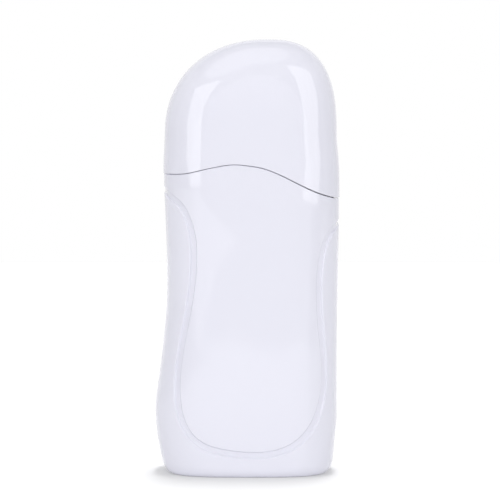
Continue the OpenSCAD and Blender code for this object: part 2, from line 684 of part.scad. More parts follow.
module base_cover() {
    color(inner_white)
    difference() {
        union() {
            translate([0, 0, cover_bottom]) linear_extrude(cover_t)
                polygon(outline(foot_round_h, seat_in + cover_clear, 2 * half_steps));
            for (x = [body_x - foot_x, body_x + foot_x], y = [-foot_y, foot_y]) {
                translate([x, y, 0]) cylinder(r = foot_r, h = cover_bottom + 0.5, $fn = 48);
            }
            for (p = cradle_places) {
                translate([p[0], p[1], cover_top - 0.5])
                    cylinder(r = post_r, h = well_z - cradle_floor_t - cover_top + 0.5, $fn = 40);
            }
            for (p = board_places) {
                translate([p[0], p[1], cover_top - 0.5])
                    cylinder(r = 2.5, h = board_z - cover_top + 0.5, $fn = 32);
            }
            for (p = lower_screws) {
                block([p[0] - shell_boss_r - 0.5, -lug_t / 2, cover_top - 0.5],
                    [p[0] + shell_boss_r + 0.5, lug_t / 2, p[1] + shell_boss_r + 0.5]);
            }
            block([well_x - 9, inlet_back_y - 2, cover_top - 0.5], [well_x - 7, inlet_back_y, inlet_z + 4]);
            block([well_x + 7, inlet_back_y - 2, cover_top - 0.5], [well_x + 9, inlet_back_y, inlet_z + 4]);
        }
        for (p = cradle_places) {
            translate([p[0], p[1], 9]) cylinder(d = small_screw_d + 2 * boss_clear, h = 20, $fn = 32);
        }
        for (p = board_places) {
            translate([p[0], p[1], cover_bottom + 1])
                cylinder(d = small_screw_d + 2 * boss_clear, h = 10, $fn = 32);
        }
        for (p = lower_screws) {
            translate([p[0], 0, p[1]]) rod_y(lug_hole_r, -3, 3);
        }
    }
}

module shell_screws() {
    color(steel)
    for (p = shell_screw_places) {
        translate([p[0], screw_seat_y, p[1]]) rotate([-90, 0, 0]) screw(shell_screw_d, 21, shell_head_d, 2);
    }
}

module sight_window() {
    color([0.85, 0.9, 0.95, 0.6])
    difference() {
        union() {
            translate([well_x, (pad_y - 0.5 + pane_face_y) / 2, window_z])
                slot_y(window_w, window_h, pane_face_y - pad_y + 0.5);
            block([well_x - 9, pad_y - flange_t, window_z - 26.5], [well_x + 9, pad_y, window_z + 26.5]);
        }
        translate([well_x, pad_y - flange_t, window_z]) slot_y(window_w - 3, window_h - 3, 2.4);
    }
}

// Heated well and its carrier.

module heater_well() {
    color(aluminium)
    difference() {
        union() {
            difference() {
                translate([well_x, 0, well_z]) linear_extrude(deck_under - well_z) stadium(well_w, well_d);
                translate([well_x, 0, well_z + well_wall]) linear_extrude(deck_under) stadium(bay_w, bay_d);
            }
            for (z = clamp_screw_z) {
                block([well_x - strap_w / 2, clamp_y, z - pad_h / 2],
                    [well_x + strap_w / 2, -bay_wall_y + 0.5, z + pad_h / 2]);
            }
        }
        translate([well_x, bay_wall_y, window_z]) slot_y(9, window_h - 4, 4);
        for (z = clamp_screw_z) {
            translate([well_x, 0, z]) rod_y(small_screw_d / 2 + boss_clear, clamp_y - 1, -bay_wall_y + 0.6);
        }
        for (x = [-15, 15]) {
            translate([well_x + x, 0, well_z - 1]) cylinder(r = 4, h = 4, $fn = 40);
        }
    }
}

module well_cradle() {
    low = well_z - cradle_floor_t;
    color([0.3, 0.31, 0.34])
    difference() {
        translate([well_x, 0, low]) linear_extrude(cradle_floor_t + cradle_rise)
            stadium(well_w + 2 * (cradle_clear + cradle_wall), well_d + 2 * (cradle_clear + cradle_wall));
        translate([well_x, 0, well_z]) linear_extrude(cradle_rise + 1)
            stadium(well_w + 2 * cradle_clear, well_d + 2 * cradle_clear);
        for (p = cradle_places) {
            translate([p[0], p[1], low - 1]) cylinder(d = small_screw_d + 2 * screw_clear, h = 9, $fn = 32);
            translate([p[0], p[1], low + 1.3]) cylinder(d = 5.2, h = 9, $fn = 40);
        }
        for (x = [-9, 9]) {
            translate([well_x + x, 0, low - 1]) linear_extrude(9) rotate(90) stadium(20, 6);
        }
    }
}

module cradle_screws() {
    color(steel)
    for (p = cradle_places) {
        translate([p[0], p[1], well_z - cradle_floor_t + 1.3]) screw(small_screw_d, 9, 4.6, 1.6);
    }
}

// Two bowed leaves on the rear wall of the bay push the cartridge against the heated front wall.
module cartridge_springs() {
    spring_x = (bay_w - bay_d) / 2 - 1.9;
    leaf_h = 64;
    bow = 1.5;
    r = (leaf_h * leaf_h / 4 + bow * bow) / (2 * bow);
    color(steel)
    for (x = [-spring_x, spring_x]) {
        translate([well_x + x, 0, 70]) rotate([0, 90, 0]) linear_extrude(5, center = true)
            intersection() {
                difference() {
                    translate([0, bay_d / 2 - bow - 0.3 + r]) circle(r = r, $fn = 720);
                    translate([0, bay_d / 2 - bow - 0.3 + r]) circle(r = r - 0.3, $fn = 720);
                }
                translate([-leaf_h / 2, bay_d / 2 - 4]) square([leaf_h, 4]);
            }
    }
}

module ptc_tiles() {
    color([0.34, 0.33, 0.33])
    for (z = [stack_bottom + 1, stack_bottom + 2 + tile_h]) {
        block([well_x - tile_w / 2, -bay_wall_y - mica_t - electrode_t - tile_t, z],
            [well_x + tile_w / 2, -bay_wall_y - mica_t - electrode_t, z + tile_h]);
    }
}

module electrode_plates() {
    color(brass) {
        inner_y = -bay_wall_y - mica_t - electrode_t;
        block([well_x - 8.8, inner_y, stack_bottom + 0.5],
            [well_x + 8.8, inner_y + electrode_t, stack_bottom + stack_h - 0.5]);
        block([well_x + 5.6, inner_y, stack_bottom - 10],
            [well_x + 8.8, inner_y + electrode_t, stack_bottom + 1]);
        outer_y = inner_y - tile_t - electrode_t;
        block([well_x - 8.8, outer_y, stack_bottom + 0.5],
            [well_x + 8.8, outer_y + electrode_t, stack_bottom + stack_h - 0.5]);
        block([well_x + 5.6, outer_y, stack_bottom + stack_h - 1],
            [well_x + 8.8, outer_y + electrode_t, stack_bottom + stack_h + 9]);
    }
}

module mica_sheets() {
    color([0.72, 0.66, 0.52]) {
        for (y = [-bay_wall_y - mica_t, clamp_y]) {
            block([well_x - 10, y, stack_bottom], [well_x + 10, y + mica_t, stack_bottom + stack_h]);
        }
    }
}

module heater_clamp() {
    color(steel)
    difference() {
        union() {
            block([well_x - strap_w / 2, clamp_y - clamp_t, low_pad_z - pad_h / 2 - 1],
                [well_x + strap_w / 2, clamp_y, thermostat_z + thermostat_h + 2]);
            block([well_x - 7, clamp_y - clamp_t, stack_bottom + 4], [well_x + 7, clamp_y, stack_top - 4]);
        }
        for (z = clamp_screw_z) {
            translate([well_x, 0, z]) rod_y(small_screw_d / 2 + screw_clear, clamp_y - 2, clamp_y + 1);
        }
        for (z = [stack_bottom + 11, stack_top - 11]) {
            translate([well_x, 0, z]) rod_y(2, clamp_y - 2, clamp_y + 1);
        }
    }
}

module clamp_screws() {
    color(steel)
    for (z = clamp_screw_z) {
        translate([well_x, clamp_y - clamp_t, z]) rotate([90, 0, 0])
            screw(small_screw_d, stack_t + clamp_t - 0.2, 4.4, 1);
    }
}

module thermostat() {
    color([0.72, 0.6, 0.42])
    block([well_x - 7.5, clamp_y, thermostat_z], [well_x + 7.5, -bay_wall_y, thermostat_z + thermostat_h]);
    color(steel) {
        blade_z = thermostat_z + thermostat_h / 2;
        block([well_x - 11, clamp_y + 1.2, blade_z - 0.9], [well_x - 7.5, clamp_y + 1.5, blade_z + 0.9]);
        block([well_x + 7.5, clamp_y + 1.2, blade_z - 0.9], [well_x + 11, clamp_y + 1.5, blade_z + 0.9]);
    }
}

fuse_x = well_x - 13.2;
fuse_y = -bay_wall_y - 1.95;
fuse_z = stack_bottom + 13;

module thermal_fuse() {
    color(aluminium) {
        translate([fuse_x, fuse_y, fuse_z]) cylinder(r = 1.9, h = 9.5, $fn = 40);
        translate([fuse_x, fuse_y, fuse_z + 9.5]) cylinder(r1 = 1.9, r2 = 0.9, h = 1.4, $fn = 40);
        translate([fuse_x, fuse_y, fuse_z + 10.9]) cylinder(r = 0.5, h = 5.1, $fn = 20);
        translate([fuse_x, fuse_y, fuse_z - 5]) cylinder(r = 0.5, h = 5, $fn = 20);
    }
}

// Mains inlet.

module inlet_outline(extra) {
    r = 2.5;
    w = inlet_w + 2 * extra;
    h = inlet_h + 2 * extra;
    square([w - 2 * r, h], center = true);
    square([w, h - 2 * r], center = true);
    for (x = [-1, 1], y = [-1, 1]) {
        translate([x * (w / 2 - r), y * (h / 2 - r)]) circle(r = r, $fn = 32);
    }
}

module inlet_socket() {
    color(dark_plastic)
    difference() {
        union() {
            translate([well_x, inlet_face_y, inlet_z]) rotate([90, 0, 0])
                linear_extrude(inlet_face_y - inlet_back_y) inlet_outline(0);
            block([well_x - socket_flange_w / 2, pad_y - flange_t, inlet_z - 7.8],
                [well_x + socket_flange_w / 2, pad_y, inlet_z + 7.8]);
        }
        translate([well_x, inlet_face_y + 1, inlet_z]) rotate([90, 0, 0]) linear_extrude(socket_depth + 1) {
            square([8, 8.6], center = true);
            for (x = [-4, 4]) {
                translate([x, 0]) circle(r = 4.3, $fn = 48);
            }
        }
        for (x = [-pin_pitch / 2, pin_pitch / 2]) {
            translate([well_x + x, 0, inlet_z]) rod_y(shank_d / 2, inlet_back_y - 1, socket_floor_y + 1);
        }
    }
}

module inlet_pins() {
    tip_y = socket_floor_y + pin_len;
    color(brass)
    for (x = [-pin_pitch / 2, pin_pitch / 2]) {
        translate([well_x + x, 0, inlet_z]) rod_y(shank_d / 2, inlet_back_y, socket_floor_y + 1);
        translate([well_x + x, 0, inlet_z]) rod_y(pin_d / 2, socket_floor_y + pin_relief, tip_y - 0.8);
        translate([well_x + x, tip_y - 0.8, inlet_z]) rotate([-90, 0, 0])
            cylinder(r1 = pin_d / 2, r2 = pin_d / 2 - 0.6, h = 0.8, $fn = 40);
        block([well_x + x - 0.4, inlet_back_y - 5, inlet_z - 1.4],
            [well_x + x + 0.4, inlet_back_y, inlet_z + 1.4]);
    }
}

// Board, lamp and leads.

module circuit_board() {
    color([0.2, 0.42, 0.26])
    difference() {
        block([well_x - 17.5, -19, board_z], [well_x + 17.5, 1, board_z + board_t]);
        for (p = board_places) {
            translate([p[0], p[1], board_z - 1])
                cylinder(d = small_screw_d + 2 * screw_clear, h = 4, $fn = 32);
        }
        for (p = cradle_places) {
            if (p[1] < 0) translate([p[0], p[1], board_z - 1]) cylinder(r = post_r + 0.4, h = 4, $fn = 40);
        }
        for (x = [-1.27, 1.27]) {
            translate([lamp_x + x, -0.6, board_z - 1]) cylinder(r = 0.45, h = 4, $fn = 16);
        }
    }
}

module board_screws() {
    color(steel)
    for (p = board_places) {
        translate([p[0], p[1], board_z + board_t]) screw(small_screw_d, 7, 4.4, 1.5);
    }
}

module terminal_block() {
    color([0.22, 0.45, 0.62])
    difference() {
        block([well_x - 9.5, -14, board_z + board_t], [well_x + 9.5, -5.5, board_z + board_t + 7]);
        for (x = [-6.9, -2.3, 2.3, 6.9]) {
            translate([well_x + x, -9.75, board_z + board_t + 4]) cylinder(r = 1.6, h = 4, $fn = 32);
            translate([well_x + x, 0, board_z + board_t + 3]) rod_y(1.1, -15, -5, 24);
        }
    }
}

module lamp_resistor() {
    color([0.8, 0.74, 0.6])
    translate([-2.6, -2, board_z + board_t + 1.35]) rotate([0, 90, 0]) cylinder(r = 1.15, h = 6.4, $fn = 32);
    color(steel) {
        translate([-4.6, -2, board_z + board_t + 1.35]) rotate([0, 90, 0])
            cylinder(r = 0.3, h = 10.4, $fn = 16);
        for (x = [-4.6, 5.8]) {
            translate([x, -2, board_z + board_t]) cylinder(r = 0.3, h = 1.35, $fn = 16);
            translate([x, -2, board_z + board_t + 1.35]) sphere(r = 0.3, $fn = 16);
        }
    }
}

module indicator_lamp() {
    color([0.95, 0.55, 0.3]) {
        translate([lamp_x, 0, inlet_z]) rod_y(1.5, 5.5, 9.5, 32);
        translate([lamp_x, 9.5, inlet_z]) sphere(r = 1.5, $fn = 32);
        translate([lamp_x, 0, inlet_z]) rod_y(lamp_flange_r, 4.5, 5.5, 32);
    }
    color(steel)
    for (x = [-1.27, 1.27]) {
        wire([[lamp_x + x, 4.6, inlet_z], [lamp_x + x, -0.6, inlet_z], [lamp_x + x, -0.6, board_z + 0.2]],
            0.3);
    }
}

module indicator_lens() {
    face_y = skin_y(lamp_x, inlet_z, 0) - 0.1;
    color([0.95, 0.5, 0.25, 0.8]) {
        translate([lamp_x, 0, inlet_z]) rod_y(lens_r, pad_y - 5.8, face_y);
        translate([lamp_x, 0, inlet_z]) rod_y(lens_boss_r, pad_y - 7.4, pad_y - 3);
    }
}

plug_z = board_z + board_t + 3;
lead_y = clamp_y - 0.8;

module inlet_leads() {
    for (side = [-1, 1]) {
        color(side < 0 ? [0.45, 0.3, 0.2] : [0.2, 0.35, 0.65])
        wire([[well_x + side * (pin_pitch / 2 + 1.3), inlet_back_y - 5.2, inlet_z],
            [well_x + side * 6.2, inlet_back_y - 8.6, inlet_z - 0.2], [well_x + side * 6.9, -4.5, plug_z],
            [well_x + side * 6.9, -8, plug_z]], 0.8);
    }
}

module heater_leads() {
    tab_y = -bay_wall_y - mica_t - electrode_t - 0.9;
    color([0.85, 0.86, 0.88]) {
        wire([[well_x + 6.9, -11, plug_z], [well_x + 6.9, -16.5, plug_z], [well_x + 7.2, lead_y, plug_z + 5],
            [well_x + 7.2, lead_y, well_z + cradle_rise - 1], [well_x + 7.2, tab_y, stack_bottom - 10.5],
            [well_x + 7.2, tab_y, stack_bottom - 6]], 0.75);
        wire([[well_x - 6.9, -11, plug_z], [well_x - 6.9, -16.5, plug_z], [well_x - 8.4, lead_y, plug_z + 5],
            [well_x - 8.8, lead_y, well_z + cradle_rise - 1], [fuse_x, fuse_y, stack_bottom - 3],
            [fuse_x, fuse_y, fuse_z - 5]], 0.75);
    }
}

module sensor_leads() {
    outer_tab_y = clamp_y + mica_t - 0.9;
    blade_z = thermostat_z + thermostat_h / 2;
    color([0.85, 0.86, 0.88]) {
        wire([[well_x + 7.2, outer_tab_y, stack_top + 4], [well_x + 7.2, outer_tab_y, stack_top + 9],
            [well_x + 11.5, clamp_y + 0.4, thermostat_z - 2], [well_x + 10, clamp_y + 0.45, blade_z]], 0.7);
        wire([[fuse_x, fuse_y, fuse_z + 16], [fuse_x, fuse_y, stack_top + 4],
            [well_x - 11.5, clamp_y + 0.4, thermostat_z - 2], [well_x - 10, clamp_y + 0.45, blade_z]], 0.7);
    }
}

cap();
front_shell();
rear_shell();
mouth_collar();
base_cover();
shell_screws();
sight_window();
heater_well();
well_cradle();
cradle_screws();
cartridge_springs();
ptc_tiles();
electrode_plates();
mica_sheets();
heater_clamp();
clamp_screws();
thermostat();
thermal_fuse();
inlet_socket();
inlet_pins();
circuit_board();
board_screws();
terminal_block();
lamp_resistor();
indicator_lamp();
indicator_lens();
inlet_leads();
heater_leads();
sensor_leads();
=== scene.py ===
# %% [markdown]
# # A roll-on wax warmer, glossy white, standing closed
# The warmer is a two-part body with a heated well inside and a domed cap that lifts straight off. The packed
# model brings every part at its true place. This lesson gives the outside its real skin, with rounded rims
# and a soft moulded groove, gives every part a finish, and lights it all in a small studio. Blender counts in
# metres, but a maker thinks in millimetres, so all forms are drawn in millimetres and scaled at the end.

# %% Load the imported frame
import json
import math
import bpy
import numpy as np
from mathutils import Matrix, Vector
from mathutils.geometry import delaunay_2d_cdt

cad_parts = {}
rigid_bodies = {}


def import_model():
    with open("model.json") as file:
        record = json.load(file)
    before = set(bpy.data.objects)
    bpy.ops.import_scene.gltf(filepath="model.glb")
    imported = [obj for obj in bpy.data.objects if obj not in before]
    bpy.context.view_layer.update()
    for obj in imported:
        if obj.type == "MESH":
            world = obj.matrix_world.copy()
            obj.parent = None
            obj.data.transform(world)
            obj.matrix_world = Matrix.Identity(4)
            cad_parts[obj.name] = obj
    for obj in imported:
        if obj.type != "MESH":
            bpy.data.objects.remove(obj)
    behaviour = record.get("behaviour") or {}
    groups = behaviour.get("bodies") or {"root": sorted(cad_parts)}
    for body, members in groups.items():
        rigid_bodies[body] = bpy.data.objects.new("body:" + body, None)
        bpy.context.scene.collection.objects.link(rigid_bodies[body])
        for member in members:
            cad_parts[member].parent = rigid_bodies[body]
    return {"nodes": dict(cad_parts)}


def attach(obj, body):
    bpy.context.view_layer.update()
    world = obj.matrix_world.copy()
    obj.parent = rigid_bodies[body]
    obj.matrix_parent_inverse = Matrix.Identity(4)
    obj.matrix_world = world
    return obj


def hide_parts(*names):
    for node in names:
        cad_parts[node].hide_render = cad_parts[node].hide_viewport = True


MM = 0.001
for spare in list(bpy.data.objects):
    bpy.data.objects.remove(spare)
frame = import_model()
bpy.context.view_layer.update()
nodes = frame["nodes"]

# %% [markdown]
# ## The form, from a few measured rows
# A moulded housing like this has no flat face: it widens at the toe, narrows at the waist and leans into a
# lopsided dome. A subdivided cage could give that, but its points would say nothing about real sizes. Here
# the form is a few rows of heights and reaches in millimetres, joined by cubic splines. A spline keeps the
# bend continuous, and gloss shows every break in the bend.

# %% Smooth lines through rows of numbers
def smooth_line(rows, end_slope=None):
    """A cubic spline through [place, value] rows, free at its ends or with a given slope at the last."""
    x = np.array([row[0] for row in rows], float)
    y = np.array([row[1] for row in rows], float)
    h = np.diff(x)
    n = len(x)
    system = np.eye(n)
    right_side = np.zeros(n)
    for i in range(1, n - 1):
        system[i, i - 1:i + 2] = h[i - 1], 2 * (h[i - 1] + h[i]), h[i]
        right_side[i] = 6 * ((y[i + 1] - y[i]) / h[i] - (y[i] - y[i - 1]) / h[i - 1])
    if end_slope is not None:
        system[-1, -2:] = h[-1], 2 * h[-1]
        right_side[-1] = 6 * (end_slope - (y[-1] - y[-2]) / h[-1])
    bend = np.linalg.solve(system, right_side)

    def value(at):
        at = np.clip(np.asarray(at, float), x[0], x[-1])
        i = np.clip(np.searchsorted(x, at, side="right") - 1, 0, n - 2)
        after, before, span = at - x[i], x[i + 1] - at, h[i]
        return ((bend[i] * before ** 3 + bend[i + 1] * after ** 3) / (6 * span)
                + (y[i] / span - bend[i] * span / 6) * before
                + (y[i + 1] / span - bend[i + 1] * span / 6) * after)
    return value


even_slope = smooth_line([(0, 0), (1, 2), (2, 4)])
print("a line through 0, 2 and 4, read halfway between them:", even_slope([0.5, 1.5]))

# %% [markdown]
# ### The warmer's own numbers
# Each row holds a height and what the outline adds there to the mean half width or half depth. The rows are
# few on purpose: a spline through many close points copies every small slip in the measurements.
# The seam between cap and body is one more line, its height given over the width.

# %% Sizes and reaches
# The crown's height, the height at which the body turns into the dome, and the middle line's x at both ends.
TOP, DOME_Z = 186.0, 145.0
DOME_X, MIDDLE_X = 8.9, 1.6
# The mean half width and half depth, the wall, and how high and how far in the edge of the foot is rounded.
HALF_W, HALF_D = 35.6, 25.3
WALL = 2.2
FOOT_H, FOOT_IN = 4.0, 2.8
left_more = smooth_line([(0, -0.6), (6, 1), (13, 2.5), (20, 3.45), (29, 3.85), (37, 3), (50, 1.2), (63, -0.2),
                         (75, -1.1), (90, -1.2), (105, -0.8), (122, -0.1), (134, -0.1), (146, -0.6)], 0)
right_more = smooth_line([(0, 0.1), (6, 1.5), (13, 2.1), (20, 2.9), (30, 3.2), (52, 3.2), (75, 3.4),
                          (95, 3.7), (108, 3.9), (124, 3.8), (134, 3.5), (146, 2.6)], 0)
front_more = smooth_line([(0, -2.1), (12, -0.7), (30, 0.3), (52, 0), (76, -0.4), (96, -0.4), (116, 0),
                          (146, 0.1)], 0)
rear_more = smooth_line([(0, -2.1), (12, -0.7), (30, 0.1), (60, 0.3), (100, 0.3), (120, 0.2), (146, 0.1)], 0)
seam_z = smooth_line([(-38, 128.7), (-34, 128.8), (-27, 129.1), (-19, 130.8), (-12, 132.3), (-6, 133.1),
                      (0, 132.7), (6, 131.7), (12, 129.6), (19, 126.2), (26, 122.7), (32, 120.2), (37, 118.7),
                      (41, 117.8)])
print("half width at the toe and the waist:", HALF_W + left_more(29), HALF_W + left_more(85))

# %% [markdown]
# ## One closed outline at every height
# Seen from above the body is a rounded rectangle. The curve |x|^3 + |y|^3 = 1 gives just that, and walking
# it by its true direction angle keeps the points even where a plain sine and cosine would bunch them up.
# Each quarter is stretched to its own reach, so left and right can differ. The dome bulges by such curves
# too, one for each side, while its middle line leans over to the right.

# %% The outline of one level
PLAN_POWER = 3
LEFT_POWER, RIGHT_POWER, DEPTH_POWER = 2.2, 2.65, 2.4
LEAN_POWER = 1.5


def dome_part(z):
    """How far up the dome a height is, from 0 at its foot to 1 at the crown."""
    return np.clip((z - DOME_Z) / (TOP - DOME_Z), 0, 1)


def bulge(part, power):
    """What is left of a reach at that part of the dome's height."""
    return np.clip(1 - part ** power, 0, None) ** (1 / power)


def reaches(z, sink):
    """Left, right, front and rear reach from the middle line at each height, sunk inward by sink."""
    part = dome_part(z)
    middle = MIDDLE_X + (DOME_X - MIDDLE_X) * part ** LEAN_POWER
    low_left = middle + HALF_W + left_more(z) - sink
    low_right = HALF_W + right_more(z) - sink - middle
    high_left = middle - DOME_X + (DOME_X + HALF_W + left_more(DOME_Z) - sink) * bulge(part, LEFT_POWER)
    high_right = DOME_X - middle + (HALF_W + right_more(DOME_Z) - DOME_X - sink) * bulge(part, RIGHT_POWER)
    squash = bulge(part, DEPTH_POWER)
    under = z < DOME_Z
    return (middle, np.where(under, low_left, high_left), np.where(under, low_right, high_right),
            (HALF_D + front_more(z) - sink) * squash, (HALF_D + rear_more(z) - sink) * squash)


def plan(turn):
    """The unit outline in the direction turn: 0 is the right side, a quarter back from there is the front."""
    c, s = np.cos(turn), np.sin(turn)
    r = (np.abs(c) ** PLAN_POWER + np.abs(s) ** PLAN_POWER) ** (-1 / PLAN_POWER)
    return c * r, s * r


def place(turn, z, sink=0.0):
    """Points of the skin in millimetres, one row of x, y, z for each turn and height."""
    c, s = plan(turn)
    middle, left, right, front, rear = reaches(z, sink)
    return np.stack([middle + np.where(c >= 0, right, left) * c, np.where(s >= 0, rear, front) * s,
                     z + 0 * c], -1)


print("middle and reaches at 75 mm:", [round(float(reach), 2) for reach in reaches(np.array(75.0), 0.0)])

# %% [markdown]
# ### Even steps round the body
# Equal angles aren't equal lengths, and a drawing on the skin needs true lengths. So the outline is walked
# once in fine steps at the height of the waist, and the walk is kept as a table that turns millimetres into
# angles and back. It starts at the middle of the front.

# %% Millimetres round the body, and angles
RING_STEPS = 24000
WALK_Z = 75.0
ring_turn = np.linspace(-2.5 * math.pi, 1.5 * math.pi, RING_STEPS + 1)
ring_points = place(ring_turn, np.full_like(ring_turn, WALK_Z))
ring_walk = np.concatenate([[0], np.cumsum(np.linalg.norm(np.diff(ring_points, axis=0), axis=1))])
ring_walk -= np.interp(-math.pi / 2, ring_turn, ring_walk)
ROUND = np.interp(1.5 * math.pi, ring_turn, ring_walk)
LEFT_U, RIGHT_U = np.interp([-math.pi, 0], ring_turn, ring_walk)


def turn_at(u):
    """The turn at which the way round is u."""
    return np.interp(u, ring_walk, ring_turn)


def walk_at(turn):
    """The way round at a turn."""
    return np.interp(turn, ring_turn, ring_walk)


print("way round the body:", round(float(ROUND), 1),
      "and its front half from", round(float(LEFT_U), 1), "to", round(float(RIGHT_U), 1))

# %% [markdown]
# ## The skin as a sheet
# A skin is easier to draw on when it lies flat. Every point of the body gets two sheet coordinates: u is the
# way round, in millimetres, from the middle of the front, and v is the way up. At the foot the sheet follows
# the rounded edge and runs on under the body. Drawing on the sheet and rolling it up afterwards is how a
# groove can cross a curved corner and keep its width.

# %% Roll the sheet up
# The length of the foot's rounded edge, v where that edge ends, and how far the sheet reaches in under it.
FOOT_ARC = 5.4
FOOT_V = FOOT_H - FOOT_ARC
LIP_IN = 4.4


def skin(u, v):
    """Rolls sheet points up: heights above the foot's edge are true, below it v walks round that edge."""
    swing = np.clip((FOOT_H - v) / FOOT_ARC, 0, 1) * math.pi / 2
    z = np.where(v < FOOT_H, FOOT_H * (1 - np.sin(swing)), v)
    tuck = FOOT_IN * (1 - np.cos(swing)) + np.clip(FOOT_V - v, 0, None)
    return place(turn_at(u), z, tuck)


print("where the foot's edge ends, front and right:",
      skin(np.array([0.0, RIGHT_U]), np.array([FOOT_V, FOOT_V])).round(2).tolist())

# %% [markdown]
# ### Directions on the skin
# A rim or a groove has to know which way is along, up and out at its place. Two small steps on the sheet give
# two tangents, and their cross product is the outward normal. Openings are given as they are seen from the
# front or the rear, so one more helper finds the sheet's place for what is seen.

# %% Tangents, normals and seen places
def frame_of(surface, u, v, step=0.02):
    """Unit tangents and the outward normal of a surface given by its sheet coordinates."""
    along = surface(u + step, v) - surface(u - step, v)
    up = surface(u, v + step) - surface(u, v - step)
    out = np.cross(along, up)
    return unit(along), unit(up), unit(out)


def unit(vectors):
    """The same directions with length 1."""
    return vectors / np.maximum(np.linalg.norm(vectors, axis=-1, keepdims=True), 1e-12)


def sheet_of(x, z, rear=False):
    """Sheet coordinates of places that are given as seen from the front or through from the rear."""
    middle, left, right, _, _ = reaches(z, 0.0)
    c = np.clip((x - middle) / np.where(x > middle, right, left), -1, 1)
    s = (1 - np.abs(c) ** PLAN_POWER) ** (1 / PLAN_POWER)
    turn = np.arctan2(s if rear else -s, c)
    return np.stack([walk_at(turn), z], -1)


print("outward at the middle of the front:",
      frame_of(skin, np.zeros(1), np.full(1, WALK_Z))[2].round(3).tolist())

# %% [markdown]
# ## The moulded groove
# The groove starts on the left side under the cap, runs down the front, round the foot and up to the right
# side. One of its walls faces away from the light and shows dark, the other catches it and shows bright.
# Sculpting or a curve bevel could give such a channel, but both blur its walls. Here the sheet's own points
# are set back by a profile of the distance to one line, the one that a moulder's cutter would follow.

# %% The groove's line and section
# Half its width at the top and at the flat bottom, its depth, and the length in which its ends fade out.
GROOVE_HALF, GROOVE_FLAT = 1.8, 0.95
GROOVE_DEPTH = 0.9
GROOVE_RUN_OUT = 9.0
# Places on the middle line: x and height as seen from the front, and angle and height round the two sides.
groove_seen = np.array([(-34.9, 121.4), (-32.5, 119.3), (-28.2, 115.6), (-24.9, 109.5), (-23.1, 102.5),
                        (-22.6, 95), (-22.8, 88), (-23.5, 80.8), (-24.6, 73.7), (-25.9, 66.5), (-27.3, 59.4),
                        (-28.5, 52.2), (-29.4, 45), (-29.7, 37.8), (-29.2, 30.6), (-27.4, 23.6),
                        (-23.6, 17.5), (-17.8, 13.3), (-10.9, 11.3), (-3.7, 10.2), (3.6, 9.8), (10.8, 10.5),
                        (17.7, 12.7), (23.6, 16.7), (28, 22.3), (30.8, 28.9), (32.4, 35.9), (33, 43.1),
                        (32.8, 50.3), (32.1, 57.5), (31.4, 64.8), (30.9, 72), (30.7, 79.3), (30.9, 86.5),
                        (31.9, 93.7), (34, 101.2), (36.1, 104.7), (38.1, 106.5)])
groove_left = [(162, 122.2), (165, 122.3), (168, 122.4), (172, 122.4), (176, 122.3), (180, 122.1),
               (186, 121.8)]
groove_right = [(350, 107.5), (355, 107.9), (360, 108.2), (364, 108.5), (368, 108.7), (372, 108.8),
                (375, 108.9), (378, 108.9)]
print("places on the groove's line:", len(groove_left) + len(groove_seen) + len(groove_right))

# %% [markdown]
# ### From places to an even path
# A spline through the places is walked in even steps, first on the front and then round both sides. The real
# groove hardly notches the outline of the body, so it is shallower where it passes the two sides. The soft
# step that fades it out is used for every other gentle change as well: its bend starts and ends at nothing.

# %% The groove's path on the sheet
PATH_STEP = 0.4
LEFT_DIP, RIGHT_DIP, DIP_LENGTH = 0.7, 0.3, 7


def smooth_path(points, step):
    """Even points along a spline through the given sheet points."""
    way = np.concatenate([[0], np.cumsum(np.linalg.norm(np.diff(points, axis=0), axis=1))])
    fine = np.arange(0, way[-1] + step / 2, step)
    return np.stack([smooth_line(list(zip(way, points[:, k])))(fine) for k in (0, 1)], -1)


def round_the_side(rows):
    """Sheet points of the groove's ends, given as drawing angle and height."""
    a, z = np.radians([row[0] for row in rows]), np.array([row[1] for row in rows], float)
    c, s = (np.sign(w) * np.abs(w) ** (2 / PLAN_POWER) for w in (np.cos(a), np.sin(a)))
    around = np.arctan2(s, c)
    return np.stack([walk_at(np.where(around > math.pi / 2, around - 2 * math.pi, around)), z], -1)


def ease(t):
    """A soft step from 0 to 1."""
    t = np.clip(t, 0, 1)
    return t * t * t * (t * (6 * t - 15) + 10)


groove_path = smooth_path(np.concatenate([round_the_side(groove_left),
                                          sheet_of(groove_seen[:, 0], groove_seen[:, 1]),
                                          round_the_side(groove_right)]), PATH_STEP)
groove_spots = skin(groove_path[:, 0], groove_path[:, 1])
from_start = PATH_STEP * np.arange(len(groove_path))
spot_share = ease(np.minimum(from_start, from_start[::-1]) / GROOVE_RUN_OUT)
for side, dip in ((groove_spots[:, 0].argmin(), LEFT_DIP), (groove_spots[:, 0].argmax(), RIGHT_DIP)):
    spot_share *= 1 - dip * np.exp(-((from_start - from_start[side]) / DIP_LENGTH) ** 2)
    print("groove passes a side at", groove_spots[side].round(1).tolist())
print("groove length:", round(from_start[-1]))

# %% [markdown]
# ### How deep the groove is at a point
# Each point of the skin looks for the nearest place of the path. Up to the edge of the flat bottom it gets
# the full depth, and from there a soft step brings it back to the skin. The slope of that step also tilts the
# normal, so the walls shade smoothly on rather few triangles. Points come in portions, to spare memory.

# %% Depth, slope and direction
PORTION = 1000


